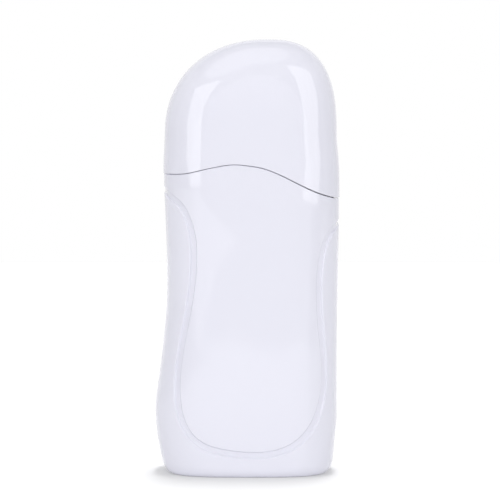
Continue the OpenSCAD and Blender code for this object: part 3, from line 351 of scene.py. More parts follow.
def groove_at(points):
    """Depth, its slope across the groove, and the direction away from the groove's line."""
    depth = np.zeros(len(points))
    slope = np.zeros(len(points))
    away = np.zeros((len(points), 3))
    for start in range(0, len(points), PORTION):
        here = points[start:start + PORTION]
        gap = here[:, None, :] - groove_spots[None]
        far = np.linalg.norm(gap, axis=2)
        nearest = far.argmin(axis=1)
        row = np.arange(len(here))
        q = far[row, nearest]
        t = (q - GROOVE_FLAT) / (GROOVE_HALF - GROOVE_FLAT)
        share = GROOVE_DEPTH * spot_share[nearest]
        depth[start:start + PORTION] = share * (1 - ease(t))
        # The slope of ease(t) is 30 t^2 (t - 1)^2.
        tc = np.clip(t, 0, 1)
        slope[start:start + PORTION] = -share * 30 * tc * tc * (tc - 1) ** 2 / (GROOVE_HALF - GROOVE_FLAT)
        away[start:start + PORTION] = gap[row, nearest] / np.maximum(q, 1e-6)[:, None]
    return depth, slope, away


print("deepest place of the groove:", round(float(groove_at(groove_spots)[0].max()), 3))

# %% [markdown]
# ## From sheet to mesh
# The two shells are cut from the sheet: each has an outline, holes for window, inlet, lamp and screws, and
# the lines of the groove, which must all lie on edges of the mesh. Cutting such holes with booleans leaves
# long slivers that gloss would show. A constrained triangulation keeps every drawn line and fills the rest
# evenly. For that it has to know which points lie in an outline, and which lie too close to a line.

# %% Inside a loop, and near a line
def inside(points, loop):
    """Which points lie in the closed loop, by counting the sides that a ray to the right crosses."""
    hit = np.zeros(len(points), bool)
    ends = np.roll(loop, -1, axis=0)
    for (x1, y1), (x2, y2) in zip(loop, ends):
        if y1 != y2:
            crosses = (y1 > points[:, 1]) != (y2 > points[:, 1])
            hit ^= crosses & (points[:, 0] < (x2 - x1) * (points[:, 1] - y1) / (y2 - y1) + x1)
    return hit


def near_any(points, drawn, reach):
    """Which points lie within reach of the drawn points."""
    close = np.zeros(len(points), bool)
    for start in range(0, len(points), PORTION):
        part = points[start:start + PORTION]
        close[start:start + PORTION] = (((part[:, None] - drawn[None]) ** 2).sum(2) < reach ** 2).any(1)
    return close


square = np.array([(0, 0), (4, 0), (4, 4), (0, 4)], float)
print("in a square of 4 mm:", inside(np.array([(1, 1), (5, 1)], float), square).tolist())

# %% [markdown]
# ### Even triangles
# The drawn points stay where they are, and a grid whose every second row is shifted by half a step fills the
# room between them. Delaunay's rule joins them all to triangles that are as even as they can be. Edges that
# only one triangle uses are the rims of the sheet, and the wall's edges will be built on them.

# %% Fill a drawn outline, and find its rims
# The rows of the grid lie this much of its step apart, and its points keep that much of it from the lines.
ROW_SHARE, CLEAR_SHARE = 0.87, 0.6


def fill_sheet(outline, holes, lines, spacing):
    """Triangles over the outline but not the holes, with all lines kept as edges."""
    drawn = [outline] + holes
    points = np.concatenate(drawn + lines)
    edges, start = [], 0
    for k, line in enumerate(drawn + lines):
        n = len(line)
        edges += [(start + i, start + (i + 1) % n) for i in range(n if k < len(drawn) else n - 1)]
        start += n
    low, high = outline.min(0), outline.max(0)
    across, upward = np.meshgrid(np.arange(low[0], high[0], spacing),
                                 np.arange(low[1], high[1], spacing * ROW_SHARE))
    across[1::2] += spacing / 2
    grid = np.stack([across.ravel(), upward.ravel()], -1)
    grid = grid[inside(grid, outline)]
    grid = grid[~near_any(grid, points, spacing * CLEAR_SHARE)]
    everything = np.concatenate([points, grid])
    found, _, triangles, _, _, _ = delaunay_2d_cdt([Vector(p) for p in everything], edges, [], 0, 1e-4)
    found = np.array([tuple(p) for p in found])
    triangles = np.array(triangles)
    centres = found[triangles].mean(axis=1)
    keep = inside(centres, outline)
    for hole in holes:
        keep &= ~inside(centres, hole)
    triangles = triangles[keep]
    a, b, c = (found[triangles[:, k]] for k in range(3))
    turned = (b[:, 0] - a[:, 0]) * (c[:, 1] - a[:, 1]) - (b[:, 1] - a[:, 1]) * (c[:, 0] - a[:, 0])
    triangles[turned < 0] = triangles[turned < 0][:, ::-1]
    return found, triangles[np.abs(turned) > 1e-7]


def rim_loops(triangles):
    """The edges that only one triangle uses, joined into closed loops."""
    used = {}
    for a, b, c in triangles.tolist():
        for edge in ((a, b), (b, c), (c, a)):
            used[edge] = True
    following = {a: b for a, b in used if (b, a) not in used}
    loops = []
    while following:
        first, here = next(iter(following.items()))
        loop = [first]
        del following[first]
        while here != first:
            loop.append(here)
            here = following.pop(here)
        loops.append(loop)
    return loops


print("triangles that fill the square:", len(fill_sheet(square, [], [], 1.0)[1]))

# %% [markdown]
# ## A mesh with its own normals
# Shading follows the normals, and Blender guesses them from the faces around a point. On a fine rim next to
# wide triangles such a guess is wrong and shows as a dent. So points, faces and true normals are collected
# together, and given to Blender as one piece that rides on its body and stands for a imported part.

# %% A piece in the making
class Skin:
    """Collects points, faces and normals in millimetres and turns them into one Blender piece."""

    def __init__(self):
        self.points, self.normals, self.faces, self.count = [], [], [], 0

    def add(self, points, normals):
        """Takes points with their normals and says where the first of them is."""
        first = self.count
        self.points.append(np.asarray(points, float))
        self.normals.append(unit(np.asarray(normals, float)))
        self.count += len(points)
        return first

    def strip(self, first, second, n):
        """Quads between two closed rows of n points."""
        for i in range(n):
            j = (i + 1) % n
            self.faces.append((first + i, first + j, second + j, second + i))

    def piece(self, name, body, replaced=()):
        """The finished mesh, smooth, riding on its body in place of what it replaces."""
        mesh = bpy.data.meshes.new(name)
        mesh.from_pydata((np.concatenate(self.points) * MM).tolist(), [], self.faces)
        mesh.update()
        mesh.shade_smooth()
        mesh.normals_split_custom_set_from_vertices(np.concatenate(self.normals).tolist())
        thing = bpy.data.objects.new(name, mesh)
        bpy.context.scene.collection.objects.link(thing)
        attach(thing, body)
        if replaced:
            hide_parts(*replaced)
        print(name, "faces:", len(mesh.polygons))
        return thing


print("a new piece starts with", Skin().count, "points")

# %% [markdown]
# ## Give the sheet its thickness
# A real wall ends in a rim with a small radius, and that radius is what draws the bright hairline along the
# seam. The Solidify and Bevel modifiers do this for plain shapes, but here each rim has its own depth and
# direction, so the rows of every rim are laid down one by one, with the normals that belong to them.

# %% Outer skin and rounded rims
# Steps of a rim's quarter turn, and the least cosine that a corner's mitre may have.
RIM_STEPS = 4
LEAST_MITRE = 0.6


def thick_sheet(out, found, triangles, surface, radius, depth_of, into_of):
    """Adds the outer skin with its groove and a rounded rim round every loop, and returns the rims' feet."""
    u, v = found[:, 0], found[:, 1]
    base = surface(u, v)
    along, up, normal = frame_of(surface, u, v)
    depth, slope, away = groove_at(base)
    away -= normal * (away * normal).sum(1, keepdims=True)
    shown = base - normal * depth[:, None]
    shown_normal = unit(normal + away * slope[:, None])
    first = out.add(shown, shown_normal)
    out.faces += [tuple(first + k for k in t) for t in triangles.tolist()]
    inner_rim = {}
    for loop in rim_loops(triangles):
        flat = found[loop]
        n = len(loop)
        ahead, behind = np.roll(flat, -1, axis=0) - flat, flat - np.roll(flat, 1, axis=0)
        sides = [unit(np.stack([d[:, 1], -d[:, 0]], -1)) for d in (ahead, behind)]
        outward = unit(sides[0] + sides[1])
        reach = 1 / np.maximum((outward * sides[0]).sum(1), LEAST_MITRE)
        t = unit(along[loop] * outward[:, :1] + up[loop] * outward[:, 1:]) * reach[:, None]
        depth = depth_of(flat)
        into = into_of(flat, -normal[loop])
        rows = [out.add(shown[loop], shown_normal[loop])]
        for k in range(1, RIM_STEPS + 1):
            a = k * math.pi / (2 * RIM_STEPS)
            rows.append(out.add(shown[loop] + t * radius * math.sin(a) + into * radius * (1 - math.cos(a)),
                                shown_normal[loop] * math.cos(a) + t * math.sin(a)))
        foot = base[loop] + t * radius + into * depth[:, None]
        rows.append(out.add(foot, t))
        for a, b in zip(rows, rows[1:]):
            out.strip(b, a, n)
        inner_rim.update({i: foot[k] for k, i in enumerate(loop)})
    return inner_rim


print("a rim turns in", RIM_STEPS, "steps of", 90 / RIM_STEPS, "degrees")

# %% [markdown]
# ## What the walls carry inside
# Screw bosses, posts, gussets, the tongues that line up the halves and the cap's guide ribs are moulded in
# one with the walls. All of them start inside the wall, so that no gap shows. A cylinder would do for a boss,
# but it would end in a flat cut. Here it is turned from a profile, and each point of its last row goes on to
# where it meets the curved wall.

# %% Turned bosses
# Where the four screws are, as x and height, and how deep inside the wall what it carries begins.
SCREW_HOLES = [(-29.65, 103.5), (32.9, 103.5), (-30.48, 14.0), (30.81, 14.0)]
IN_WALL = WALL / 2


def wall_y(x, z, side, sink):
    """How far from the middle plane the sunk skin is at x and z: side -1 is the front, 1 the rear."""
    middle, left, right, front, rear = reaches(z, sink)
    c = np.clip(np.abs(x - middle) / np.where(x > middle, right, left), 0, 1)
    return np.where(side < 0, front, rear) * (1 - c ** PLAN_POWER) ** (1 / PLAN_POWER)


def turned(out, x, z, profile, side, n=32):
    """A round boss along y, from rows of radius, distance to the middle plane (None is the wall), normal."""
    a = 2 * math.pi * np.arange(n) / n
    ring = np.stack([np.cos(a), 0 * a, np.sin(a)], -1)
    spots, rows = [], []
    for r, reach, radial, axial in profile:
        spot = [x, 0, z] + ring * r
        spot[:, 1] = side * (wall_y(spot[:, 0], spot[:, 2], side, IN_WALL) if reach is None else reach)
        spots.append(spot)
        rows.append(out.add(spot, ring * radial + [0, side * axial, 0]))
    for k in range(len(rows) - 1):
        if np.abs(spots[k] - spots[k + 1]).max() > 1e-6:
            first, second = (rows[k], rows[k + 1]) if side < 0 else (rows[k + 1], rows[k])
            out.strip(first, second, n)


FRONT_BOSS = [(1.5, 13, -1, 0), (1.5, 1.25, -1, 0), (1.5, 1.25, -1, -1), (1.75, 1, -1, -1), (1.75, 1, 0, -1),
              (2.5, 1, 0, -1), (2.64, 1.06, 1, -1), (2.7, 1.2, 1, 0), (2.7, None, 1, 0)]
REAR_POST = [(1.65, 1, 0, -1), (2.5, 1, 0, -1), (2.64, 1.06, 1, -1), (2.7, 1.2, 1, 0), (2.7, 8, 1, 0),
             (2.7, 8, 0, -1), (3.5, 8, 0, -1), (3.64, 8.06, 1, -1), (3.7, 8.2, 1, 0), (3.7, None, 1, 0)]
print("wall at the first screw, front and rear:",
      [round(float(wall_y(*SCREW_HOLES[0], side, IN_WALL)), 2) for side in (-1, 1)])

# %% [markdown]
# ### Flat webs
# A boss that stands near a side wall is tied to it by a thin web, which keeps it upright in the mould and
# under the screw. Its edge follows the wall. A flat face needs no more than its corners and one normal.

# %% Flat faces and gussets
WEB_THICK = 1.2
WEB_POINTS = 12


def flat_face(out, points, normal):
    """One flat face, wound so that it looks along the normal."""
    points = np.asarray(points, float)
    turn = np.cross(points, np.roll(points, -1, axis=0)).sum(0)
    first = out.add(points, np.tile(normal, (len(points), 1)))
    order = range(len(points)) if np.dot(turn, normal) > 0 else range(len(points) - 1, -1, -1)
    out.faces.append(tuple(first + k for k in order))


def gusset(out, x, z, side, near_y):
    """A flat web from a boss to the side wall; its free edge is near_y from the middle plane."""
    level = np.array(float(z))
    middle, left, right, front, rear = reaches(level, IN_WALL)
    depth = float(front if side < 0 else rear)
    reach = float(right if x > middle else left) * (1 - (near_y / depth) ** PLAN_POWER) ** (1 / PLAN_POWER)
    edge = float(middle) + math.copysign(reach, x - middle)
    xs = np.linspace(edge, x, WEB_POINTS)
    plan_line = [(x, near_y)] + list(zip(xs, wall_y(xs, level, side, IN_WALL)))
    for up in (-1, 1):
        flat_face(out, [(px, side * py, z + up * WEB_THICK / 2) for px, py in plan_line], (0, 0, up))
    flat_face(out, [(px, side * near_y, z + up * WEB_THICK / 2)
                    for px, up in ((x, -1), (edge, -1), (edge, 1), (x, 1))], (0, -side, 0))


print("a web is", WEB_THICK, "mm thick and", 2 * WEB_POINTS, "points follow the wall")

# %% [markdown]
# ### Tongues of the front half
# Two tongues inside the side walls reach past the parting face and line the halves up. They are a section of
# six corners, carried up along the wall, which leans in and out with the waist. Every face is flat, because
# nobody rounds such hidden edges in a tool.

# %% Tongues
# The section's corners as y and depth below the skin, which way each face looks, and the tongues' heights.
TONGUE_SECTION = [(-3, 2.0), (-0.5, 2.0), (-0.5, 2.35), (1.6, 2.35), (1.6, 3.55), (-3, 3.55)]
TONGUE_FACING = [(1, 0), (0, 1), (1, 0), (0, 1), (-1, 0), (0, -1)]
TONGUE_Z = np.linspace(21.7, 92.8, 25)


def tongues(out):
    """The two tongues of the front half that reach past the parting face."""
    last = len(TONGUE_Z) - 1
    for side in (-1, 1):
        lines = []
        for y, sink in TONGUE_SECTION:
            middle, left, right, _, _ = reaches(TONGUE_Z, sink)
            lines.append(np.stack([middle + (right if side > 0 else -left), np.full_like(TONGUE_Z, y),
                                   TONGUE_Z], -1))
        for k, (outward, rearward) in enumerate(TONGUE_FACING):
            this, following = lines[k], lines[(k + 1) % len(lines)]
            for j in range(last):
                flat_face(out, [this[j], following[j], following[j + 1], this[j + 1]],
                          (side * outward, rearward, 0))
        for j, up in ((0, -1), (last, 1)):
            flat_face(out, [line[j] for line in lines], (0, 0, up))


print("a tongue is", TONGUE_Z[-1] - TONGUE_Z[0], "mm long")

# %% [markdown]
# ### Soft blocks
# The cap's guide ribs are small blocks with rounded edges. A cube with a Bevel modifier would do as well, but
# the ribs belong to the cap's own mesh, so they are drawn like a ball whose eight corners are pulled apart.

# %% Blocks with rounded edges
def soft_block(out, low, high, r, n=3):
    """A box with rounded edges: a ball's eight corners, drawn apart."""
    low, high = np.array(low, float) + r, np.array(high, float) - r
    rows = []
    for upper in (0, 1):
        for k in range(n + 1):
            lat = (k / n - 1 + upper) * math.pi / 2
            row = []
            for q, (sx, sy) in enumerate(((1, 1), (0, 1), (0, 0), (1, 0))):
                for j in range(n + 1):
                    lon = (q + j / n) * math.pi / 2
                    way = np.array([math.cos(lat) * math.cos(lon), math.cos(lat) * math.sin(lon),
                                    math.sin(lat)])
                    row.append((np.where([sx, sy, upper], high, low), way))
            rows.append(out.add([c + w * r for c, w in row], [w for _, w in row]))
    count = 4 * (n + 1)
    for a, b in zip(rows, rows[1:]):
        out.strip(a, b, count)
    out.faces.append(tuple(rows[-1] + k * (n + 1) for k in range(4)))
    out.faces.append(tuple(rows[0] + k * (n + 1) for k in range(3, -1, -1)))


trial = Skin()
soft_block(trial, (0, 0, 0), (1, 1, 1), 0.25)
print("a soft block has", len(trial.faces), "faces")

# %% [markdown]
# ## The front shell
# The front half of the body carries the groove. Its outline on the sheet is the two parting lines, the wavy
# rim under the cap and the edge that runs in under the foot. All of it is set in by the radius of the edges,
# because the rounded rim is laid on outside it.

# %% Outline of a half shell
# The radius of the rims, how far the parting lines stay back, and the steps along rims and parting lines.
RIM_R = 0.42
PARTING_R = 0.16
RIM_STEP, SIDE_STEP = 0.8, 0.9
# How far from the foot's edge and from the rim the points of a parting line begin and end.
FROM_FOOT, FROM_RIM = 0.4, 0.8


def rim_height(u, drop):
    """Height of the body's rim at each u, where the seam passes over that place of the skin."""
    z = np.full_like(u, 128.0)
    for _ in range(6):
        z = seam_z(place(turn_at(u), z)[:, 0])
    return z - drop


def half_outline(start, end):
    """The outline of one half between two parting lines, set in by the radius of its edges."""
    left, right = start + PARTING_R, end - PARTING_R
    low = FOOT_V - (LIP_IN - FOOT_IN) + RIM_R
    across = np.arange(left, right, RIM_STEP)
    left_v, right_v = (np.arange(low + FROM_FOOT, rim_height(np.array([u]), FROM_RIM)[0], SIDE_STEP)
                       for u in (left, right))
    return np.concatenate([np.stack([across, np.full_like(across, low)], -1),
                           np.stack([np.full_like(right_v, right), right_v], -1),
                           np.stack([across[::-1], rim_height(across[::-1], RIM_R)], -1),
                           np.stack([np.full_like(left_v, left), left_v[::-1]], -1)])


front_outline = half_outline(LEFT_U, RIGHT_U)
print("points on the front's outline:", len(front_outline))

# %% [markdown]
# ### Rows of points for the groove
# A groove that is two or three triangles wide looks folded. So lines are drawn beside its middle line, one
# near the edge of its flat bottom, six up each wall and one just outside, and the parts of them that lie in
# the shell's outline become edges of the mesh.

# %% Lines beside the groove's middle line
GROOVE_WALL_ROWS = 6
# The share of the flat bottom where its own line runs, how far outside the last one does, and spare length.
FLAT_LINE, OUTER_LINE = 0.9, 0.35
SPARE = 3


def groove_lines(start, end):
    """Lines beside the groove's middle line, so that its walls get their own rows of points."""
    ahead = np.gradient(groove_path, axis=0)
    side = unit(np.stack([-ahead[:, 1], ahead[:, 0]], -1))
    keep = (groove_path[:, 0] > start - SPARE) & (groove_path[:, 0] < end + SPARE)
    walls = [GROOVE_FLAT + (GROOVE_HALF - GROOVE_FLAT) * k / GROOVE_WALL_ROWS
             for k in range(1, GROOVE_WALL_ROWS + 1)]
    offsets = [0, GROOVE_FLAT * FLAT_LINE] + walls + [GROOVE_HALF + OUTER_LINE]
    both = sorted(set(offsets + [-o for o in offsets]))
    return [(groove_path + side * o)[keep] for o in both]


def cut_to(lines, outline):
    """Keeps the stretches of the lines that lie in the outline."""
    kept = []
    for line in lines:
        ok = inside(line, outline)
        start = None
        for i, good in enumerate(list(ok) + [False]):
            if good and start is None:
                start = i
            if not good and start is not None:
                if i - start > 2:
                    kept.append(line[start:i])
                start = None
    return kept


front_lines = cut_to(groove_lines(LEFT_U, RIGHT_U), front_outline)
print("lines of the groove in the front half:", len(front_lines))

# %% [markdown]
# ### The front's outer skin
# Outline and lines are filled, the sheet is rolled up and the groove pressed in, and the rim is turned round
# its whole outline. Under the foot the rim is thinner, since the floor plate lies right behind it.

# %% Skin and rim of the front
SPACING, INNER_SPACING = 1.7, 4.0
LIP_WALL, LIP_BELOW = 1.15, 0.5


def shell_depth(flat):
    """How deep the rim is at places on the outline of a shell."""
    return np.where(flat[:, 1] < FOOT_V - LIP_BELOW, LIP_WALL, WALL)


def straight_in(flat, into):
    """Rims of an outline follow the wall inward."""
    return into


found, triangles = fill_sheet(front_outline, [], front_lines, SPACING)
front_skin = Skin()
rim = thick_sheet(front_skin, found, triangles, skin, RIM_R, shell_depth, straight_in)
print("triangles on the front's outer skin:", len(triangles))

# %% [markdown]
# ## The inside of the shells
# Nobody sees much of the inside, but the cap comes off and the rims show how thick the wall is. The inner
# skin is the same sheet with wider triangles, set back by the wall, and it meets the foot of every rim.

# %% Close the shell with its inner skin
def inner_sheet(out, found, triangles, surface, inner_rim, spacing):
    """The inner face of the wall, sewn to the rims that thick_sheet laid down."""
    loops = sorted(rim_loops(triangles), key=len, reverse=True)
    flats = [found[loop] for loop in loops]
    sheet, faces = fill_sheet(flats[0], flats[1:], [], spacing)
    _, _, normal = frame_of(surface, sheet[:, 0], sheet[:, 1])
    points = surface(sheet[:, 0], sheet[:, 1]) - normal * WALL
    sewn = {tuple(found[i].round(3)): spot for i, spot in inner_rim.items()}
    for k, key in enumerate(map(tuple, sheet.round(3))):
        if key in sewn:
            points[k] = sewn[key]
    first = out.add(points, -normal)
    out.faces += [tuple(first + k for k in t[::-1]) for t in faces.tolist()]


FRONT_WEB_Y, REAR_WEB_Y = 3.0, 8.0
inner_sheet(front_skin, found, triangles, skin, rim, INNER_SPACING)
for x, z in SCREW_HOLES:
    turned(front_skin, x, z, FRONT_BOSS, -1)
    gusset(front_skin, x, z, -1, FRONT_WEB_Y)
tongues(front_skin)
front = front_skin.piece("front_shell_skin", "body", ["front_shell"])

# %% [markdown]
# ## The rear shell and its openings
# The rear half has the sight window, the mains inlet, the lamp and four sunk screws. They are moulded
# straight along the tool's opening direction, so each hole keeps its shape as seen from behind, and its wall
# runs straight forward, however far the skin has turned away there. First come their outlines.

# %% Outlines of openings
# The step along a round edge and along a straight one.
ARC_STEP, STRAIGHT_STEP = 0.45, 0.6


def round_hole(x, z, r):
    """A circle, as even points."""
    a = np.arange(0, 2 * math.pi, 2 * math.pi / max(16, int(r * 2 * math.pi / ARC_STEP)))
    return np.stack([x + r * np.cos(a), z + r * np.sin(a)], -1)


def soft_box(x, z, w, h, r):
    """A rectangle with round corners, as even points."""
    corners = []
    for sx, sz, start in ((1, 1, 0), (-1, 1, 1), (-1, -1, 2), (1, -1, 3)):
        a = (start + np.linspace(0, 1, max(5, int(r * 1.6 / ARC_STEP) + 1))) * math.pi / 2
        corners.append(np.stack([x + sx * (w / 2 - r) + r * np.cos(a),
                                 z + sz * (h / 2 - r) + r * np.sin(a)], -1))
    loop = np.concatenate(corners)
    filled = []
    for a, b in zip(loop, np.roll(loop, -1, axis=0)):
        length = np.linalg.norm(b - a)
        if length > 1e-6:
            filled.append(a + (b - a) * np.arange(0, 1, 1 / max(1, round(length / STRAIGHT_STEP)))[:, None])
    return np.concatenate(filled)


print("points round a hole of 5 mm:", len(round_hole(0, 0, 2.5)))

# %% [markdown]
# ### Where the openings are and how deep they go
# Each opening is drawn wider by the radius of its rim and moved onto the sheet. Its wall ends on a flat
# floor, so its depth differs from point to point: it is the distance from the curved skin to that floor.

# %% Openings of the rear shell
# Middle x and z, then width and height, or the radius; the floors and the seat are given as y.
WINDOW = (1.0, 75.0, 10.8, 46.4)
INLET, INLET_CORNER = (1.0, 13.0, 21.4, 13.0), 2.5
LENS = (-15.5, 13.0, 2.6)
COUNTERBORE_R = 2.9
PAD_Y, LENS_FLOOR_Y, SCREW_SEAT_Y = 21.0, 18.0, 9.5
# A rim belongs to an opening if their middles agree this well and it has fewer points than an outline.
SAME_PLACE, OUTLINE_POINTS = 0.3, 400


def wider_box(x, z, w, h, r):
    """A soft box that is wider by the radius of its rim."""
    return soft_box(x, z, w + 2 * RIM_R, h + 2 * RIM_R, r + RIM_R)


opening_shapes = [(wider_box(*WINDOW, WINDOW[2] / 2 - 0.01), PAD_Y), (wider_box(*INLET, INLET_CORNER), PAD_Y),
                  (round_hole(*LENS[:2], LENS[2] + RIM_R), LENS_FLOOR_Y)]
opening_shapes += [(round_hole(x, z, COUNTERBORE_R + RIM_R), SCREW_SEAT_Y) for x, z in SCREW_HOLES]
openings = [(sheet_of(shape[:, 0], shape[:, 1], rear=True), floor_y) for shape, floor_y in opening_shapes]


def rear_floor(flat):
    """The y at which a rim of the rear shell ends, or None for the outline, which has the most points."""
    for loop, floor_y in openings:
        if np.linalg.norm(loop.mean(0) - flat.mean(0)) < SAME_PLACE and len(flat) < OUTLINE_POINTS:
            return floor_y
    return None


def rear_depth(flat):
    """How deep each rim of the rear shell is."""
    floor_y = rear_floor(flat)
    return shell_depth(flat) if floor_y is None else skin(flat[:, 0], flat[:, 1])[:, 1] - floor_y


def rear_into(flat, into):
    """Walls of openings run straight forward, the outline's rim follows the wall."""
    return into if rear_floor(flat) is None else np.tile([0.0, -1.0, 0.0], (len(flat), 1))


print("openings in the rear:", len(openings))

# %% [markdown]
# ### The rear's skin
# The groove's two ends reach the rear half, the left one after a full turn of the sheet, so its lines are
# moved on by one way round. Then the rear is filled, rolled up and lined like the front.

# %% Skin, rims and lining of the rear
rear_outline = half_outline(RIGHT_U, ROUND + LEFT_U)
rear_lines = cut_to([line + [ROUND, 0] for line in groove_lines(-ROUND, LEFT_U + SPARE)], rear_outline)
rear_lines += cut_to(groove_lines(RIGHT_U - SPARE, ROUND), rear_outline)
found, triangles = fill_sheet(rear_outline, [loop for loop, _ in openings], rear_lines, SPACING)
rear_skin = Skin()
rim = thick_sheet(rear_skin, found, triangles, skin, RIM_R, rear_depth, rear_into)
inner_sheet(rear_skin, found, triangles, skin, rim, INNER_SPACING)
print("triangles on the rear's outer skin:", len(triangles))

# %% [markdown]
# ### Screw seats and posts
# Each screw's head sits on a flat ring at the bottom of its sunk hole, and its shank runs down a bore in the
# post behind it. The ring laps under the hole's wall by a hair, so that no light leaks through.

# %% Seats, posts and webs
SEAT_POINTS = 32
SEAT_LAP = 0.02
BORE_R, BORE_LONG = 1.65, 8.5


def screw_seat(out, x, z):
    """The flat ring that the screw's head sits on, and its bore."""
    a = np.linspace(0, 2 * math.pi, SEAT_POINTS + 1)[:-1]
    ring = np.stack([np.cos(a), 0 * a, np.sin(a)], -1)
    rearward = np.tile([0, 1.0, 0], (SEAT_POINTS, 1))
    rows = [out.add([x, y, z] + ring * r, normals)
            for y, r, normals in ((SCREW_SEAT_Y, COUNTERBORE_R + SEAT_LAP, rearward),
                                  (SCREW_SEAT_Y, BORE_R, rearward), (SCREW_SEAT_Y, BORE_R, -ring),
                                  (SCREW_SEAT_Y - BORE_LONG, BORE_R, -ring))]
    out.strip(rows[0], rows[1], SEAT_POINTS)
    out.strip(rows[2], rows[3], SEAT_POINTS)


for x, z in SCREW_HOLES:
    screw_seat(rear_skin, x, z)
    turned(rear_skin, x, z, REAR_POST, 1)
    gusset(rear_skin, x, z, 1, REAR_WEB_Y)
rear = rear_skin.piece("rear_shell_skin", "body", ["rear_shell"])

# %% [markdown]
# ## The cap
# The cap is one deep moulding. A dome cut off by a wavy knife would leave slivers along the rim. Here the
# level lines of the mesh start parallel to the wavy seam and flatten out towards the dome, so none of them is
# cut. The cap stands a little proud of the body, and the gap under it grows towards the right.

# %% Places on the cap
# How far it stands proud, its rim's radius, the gap of the seam at both sides, and the mean level of its rim.
CAP_PROUD = 0.28
CAP_RIM_R = 0.16
SEAM_GAP_LEFT, SEAM_GAP_RIGHT = 0.2, 0.42
SEAM_MEAN = 128.0
# The levels over which wave and gap fade out, and the x from which, and the way in which, the gap grows.
WAVE_FADE, GAP_FADE = 28, 12
GAP_FROM_X, GAP_WAY = -10, 45


def cap_spot(turn, level, sink, top):
    """Points of the cap at a level that is flat at the dome and follows the seam at the rim."""
    share = 1 - ease((level - SEAM_MEAN) / WAVE_FADE)
    rim_x = dome_place(turn, level, sink, top)[..., 0]
    gap = SEAM_GAP_LEFT + (SEAM_GAP_RIGHT - SEAM_GAP_LEFT) * ease((rim_x - GAP_FROM_X) / GAP_WAY)
    lift = gap * (1 - ease((level - SEAM_MEAN) / GAP_FADE))
    z = level
    for _ in range(5):
        z = level + share * (seam_z(dome_place(turn, z, sink, top)[..., 0]) - SEAM_MEAN)
    spot = dome_place(turn, z, sink, top)
    spot[..., 2] += lift
    return spot


def dome_place(turn, z, sink, top):
    """As place(), with the dome drawn in to its own top so that an inner skin keeps the wall."""
    lowered = np.where(z > DOME_Z, DOME_Z + (z - DOME_Z) * (TOP - DOME_Z) / (top - DOME_Z), z)
    spot = place(turn, lowered, sink)
    spot[..., 2] = z
    return spot


print("the cap's rim at the middle of the front:",
      cap_spot(turn_at(np.zeros(1)), np.full(1, SEAM_MEAN), -CAP_PROUD, TOP).round(2).tolist())

# %% [markdown]
# ### Rows of the cap
# Near the crown the height hardly changes any more, so rows at even heights would lie far apart there. The
# rows are spaced by the way along the skin instead. Their normals come from small steps, as on the body.

# %% Rows with their normals
# Points of the profile that is measured, and how much denser they lie towards the crown.
PROFILE_POINTS, CROWN_POWER = 4000, 2.2
SMALL_UP, SMALL_TURN, BELOW_TOP = 0.002, 1e-4, 1e-5


def cap_levels(n, top):
    """Levels spaced evenly along the front profile from the rim to just short of the crown."""
    z = top - (top - SEAM_MEAN) * np.linspace(1, 0, PROFILE_POINTS) ** CROWN_POWER
    profile = dome_place(np.full_like(z, -math.pi / 2), z, 0.0, top)[:, 1:]
    way = np.concatenate([[0], np.cumsum(np.linalg.norm(np.diff(profile, axis=0), axis=1))])
    return np.interp(np.linspace(0, way[-1], n + 1)[:-1], way, z)


def cap_surface_rows(levels, turns, sink, top):
    """Points, outward and upward directions of the cap, one row for each level."""
    def spot(t, level):
        return cap_spot(t, np.clip(level, None, top - BELOW_TOP), sink, top)
    rows = []
    for level in levels:
        flat = np.full_like(turns, level)
        around = spot(turns + SMALL_TURN, flat) - spot(turns - SMALL_TURN, flat)
        upward = spot(turns, flat + SMALL_UP) - spot(turns, flat - SMALL_UP)
        rows.append((spot(turns, flat), unit(np.cross(around, upward)), unit(upward)))
    return rows


RING = 260
OUTER_LEVELS, INNER_LEVELS = 64, 34
turns = turn_at(np.arange(RING) * ROUND / RING)
outer_rows = cap_surface_rows(cap_levels(OUTER_LEVELS, TOP)[1:], turns, -CAP_PROUD, TOP)
rim_start = cap_surface_rows([SEAM_MEAN + CAP_RIM_R], turns, -CAP_PROUD, TOP)[0]
inner_rows = cap_surface_rows(cap_levels(INNER_LEVELS, TOP - WALL)[1:], turns, WALL, TOP - WALL)
inner_start = cap_surface_rows([SEAM_MEAN + CAP_RIM_R], turns, WALL, TOP - WALL)[0]
print("rows of the cap, outside and inside:", len(outer_rows), len(inner_rows))

# %% [markdown]
# ### Joining the cap
# The outer rows are joined up to the crown. Then one long chain of rows goes round the rim's outer edge, back
# up its inner edge and on to the inner crown, so that the cap is a closed wall of one piece.

# %% Outer skin, rim and lining of the cap
CAP_RIM_STEPS = 5
cap_skin = Skin()


def rim_row(start, side, k):
    """One row of the rim's rounded edge: row 0 joins the wall, the last one looks straight down."""
    spot, normal, upward = start
    outward = side * normal
    a = k * math.pi / (2 * CAP_RIM_STEPS)
    return cap_skin.add(spot - upward * CAP_RIM_R * math.sin(a) - outward * CAP_RIM_R * (1 - math.cos(a)),
                        outward * math.cos(a) - upward * math.sin(a))


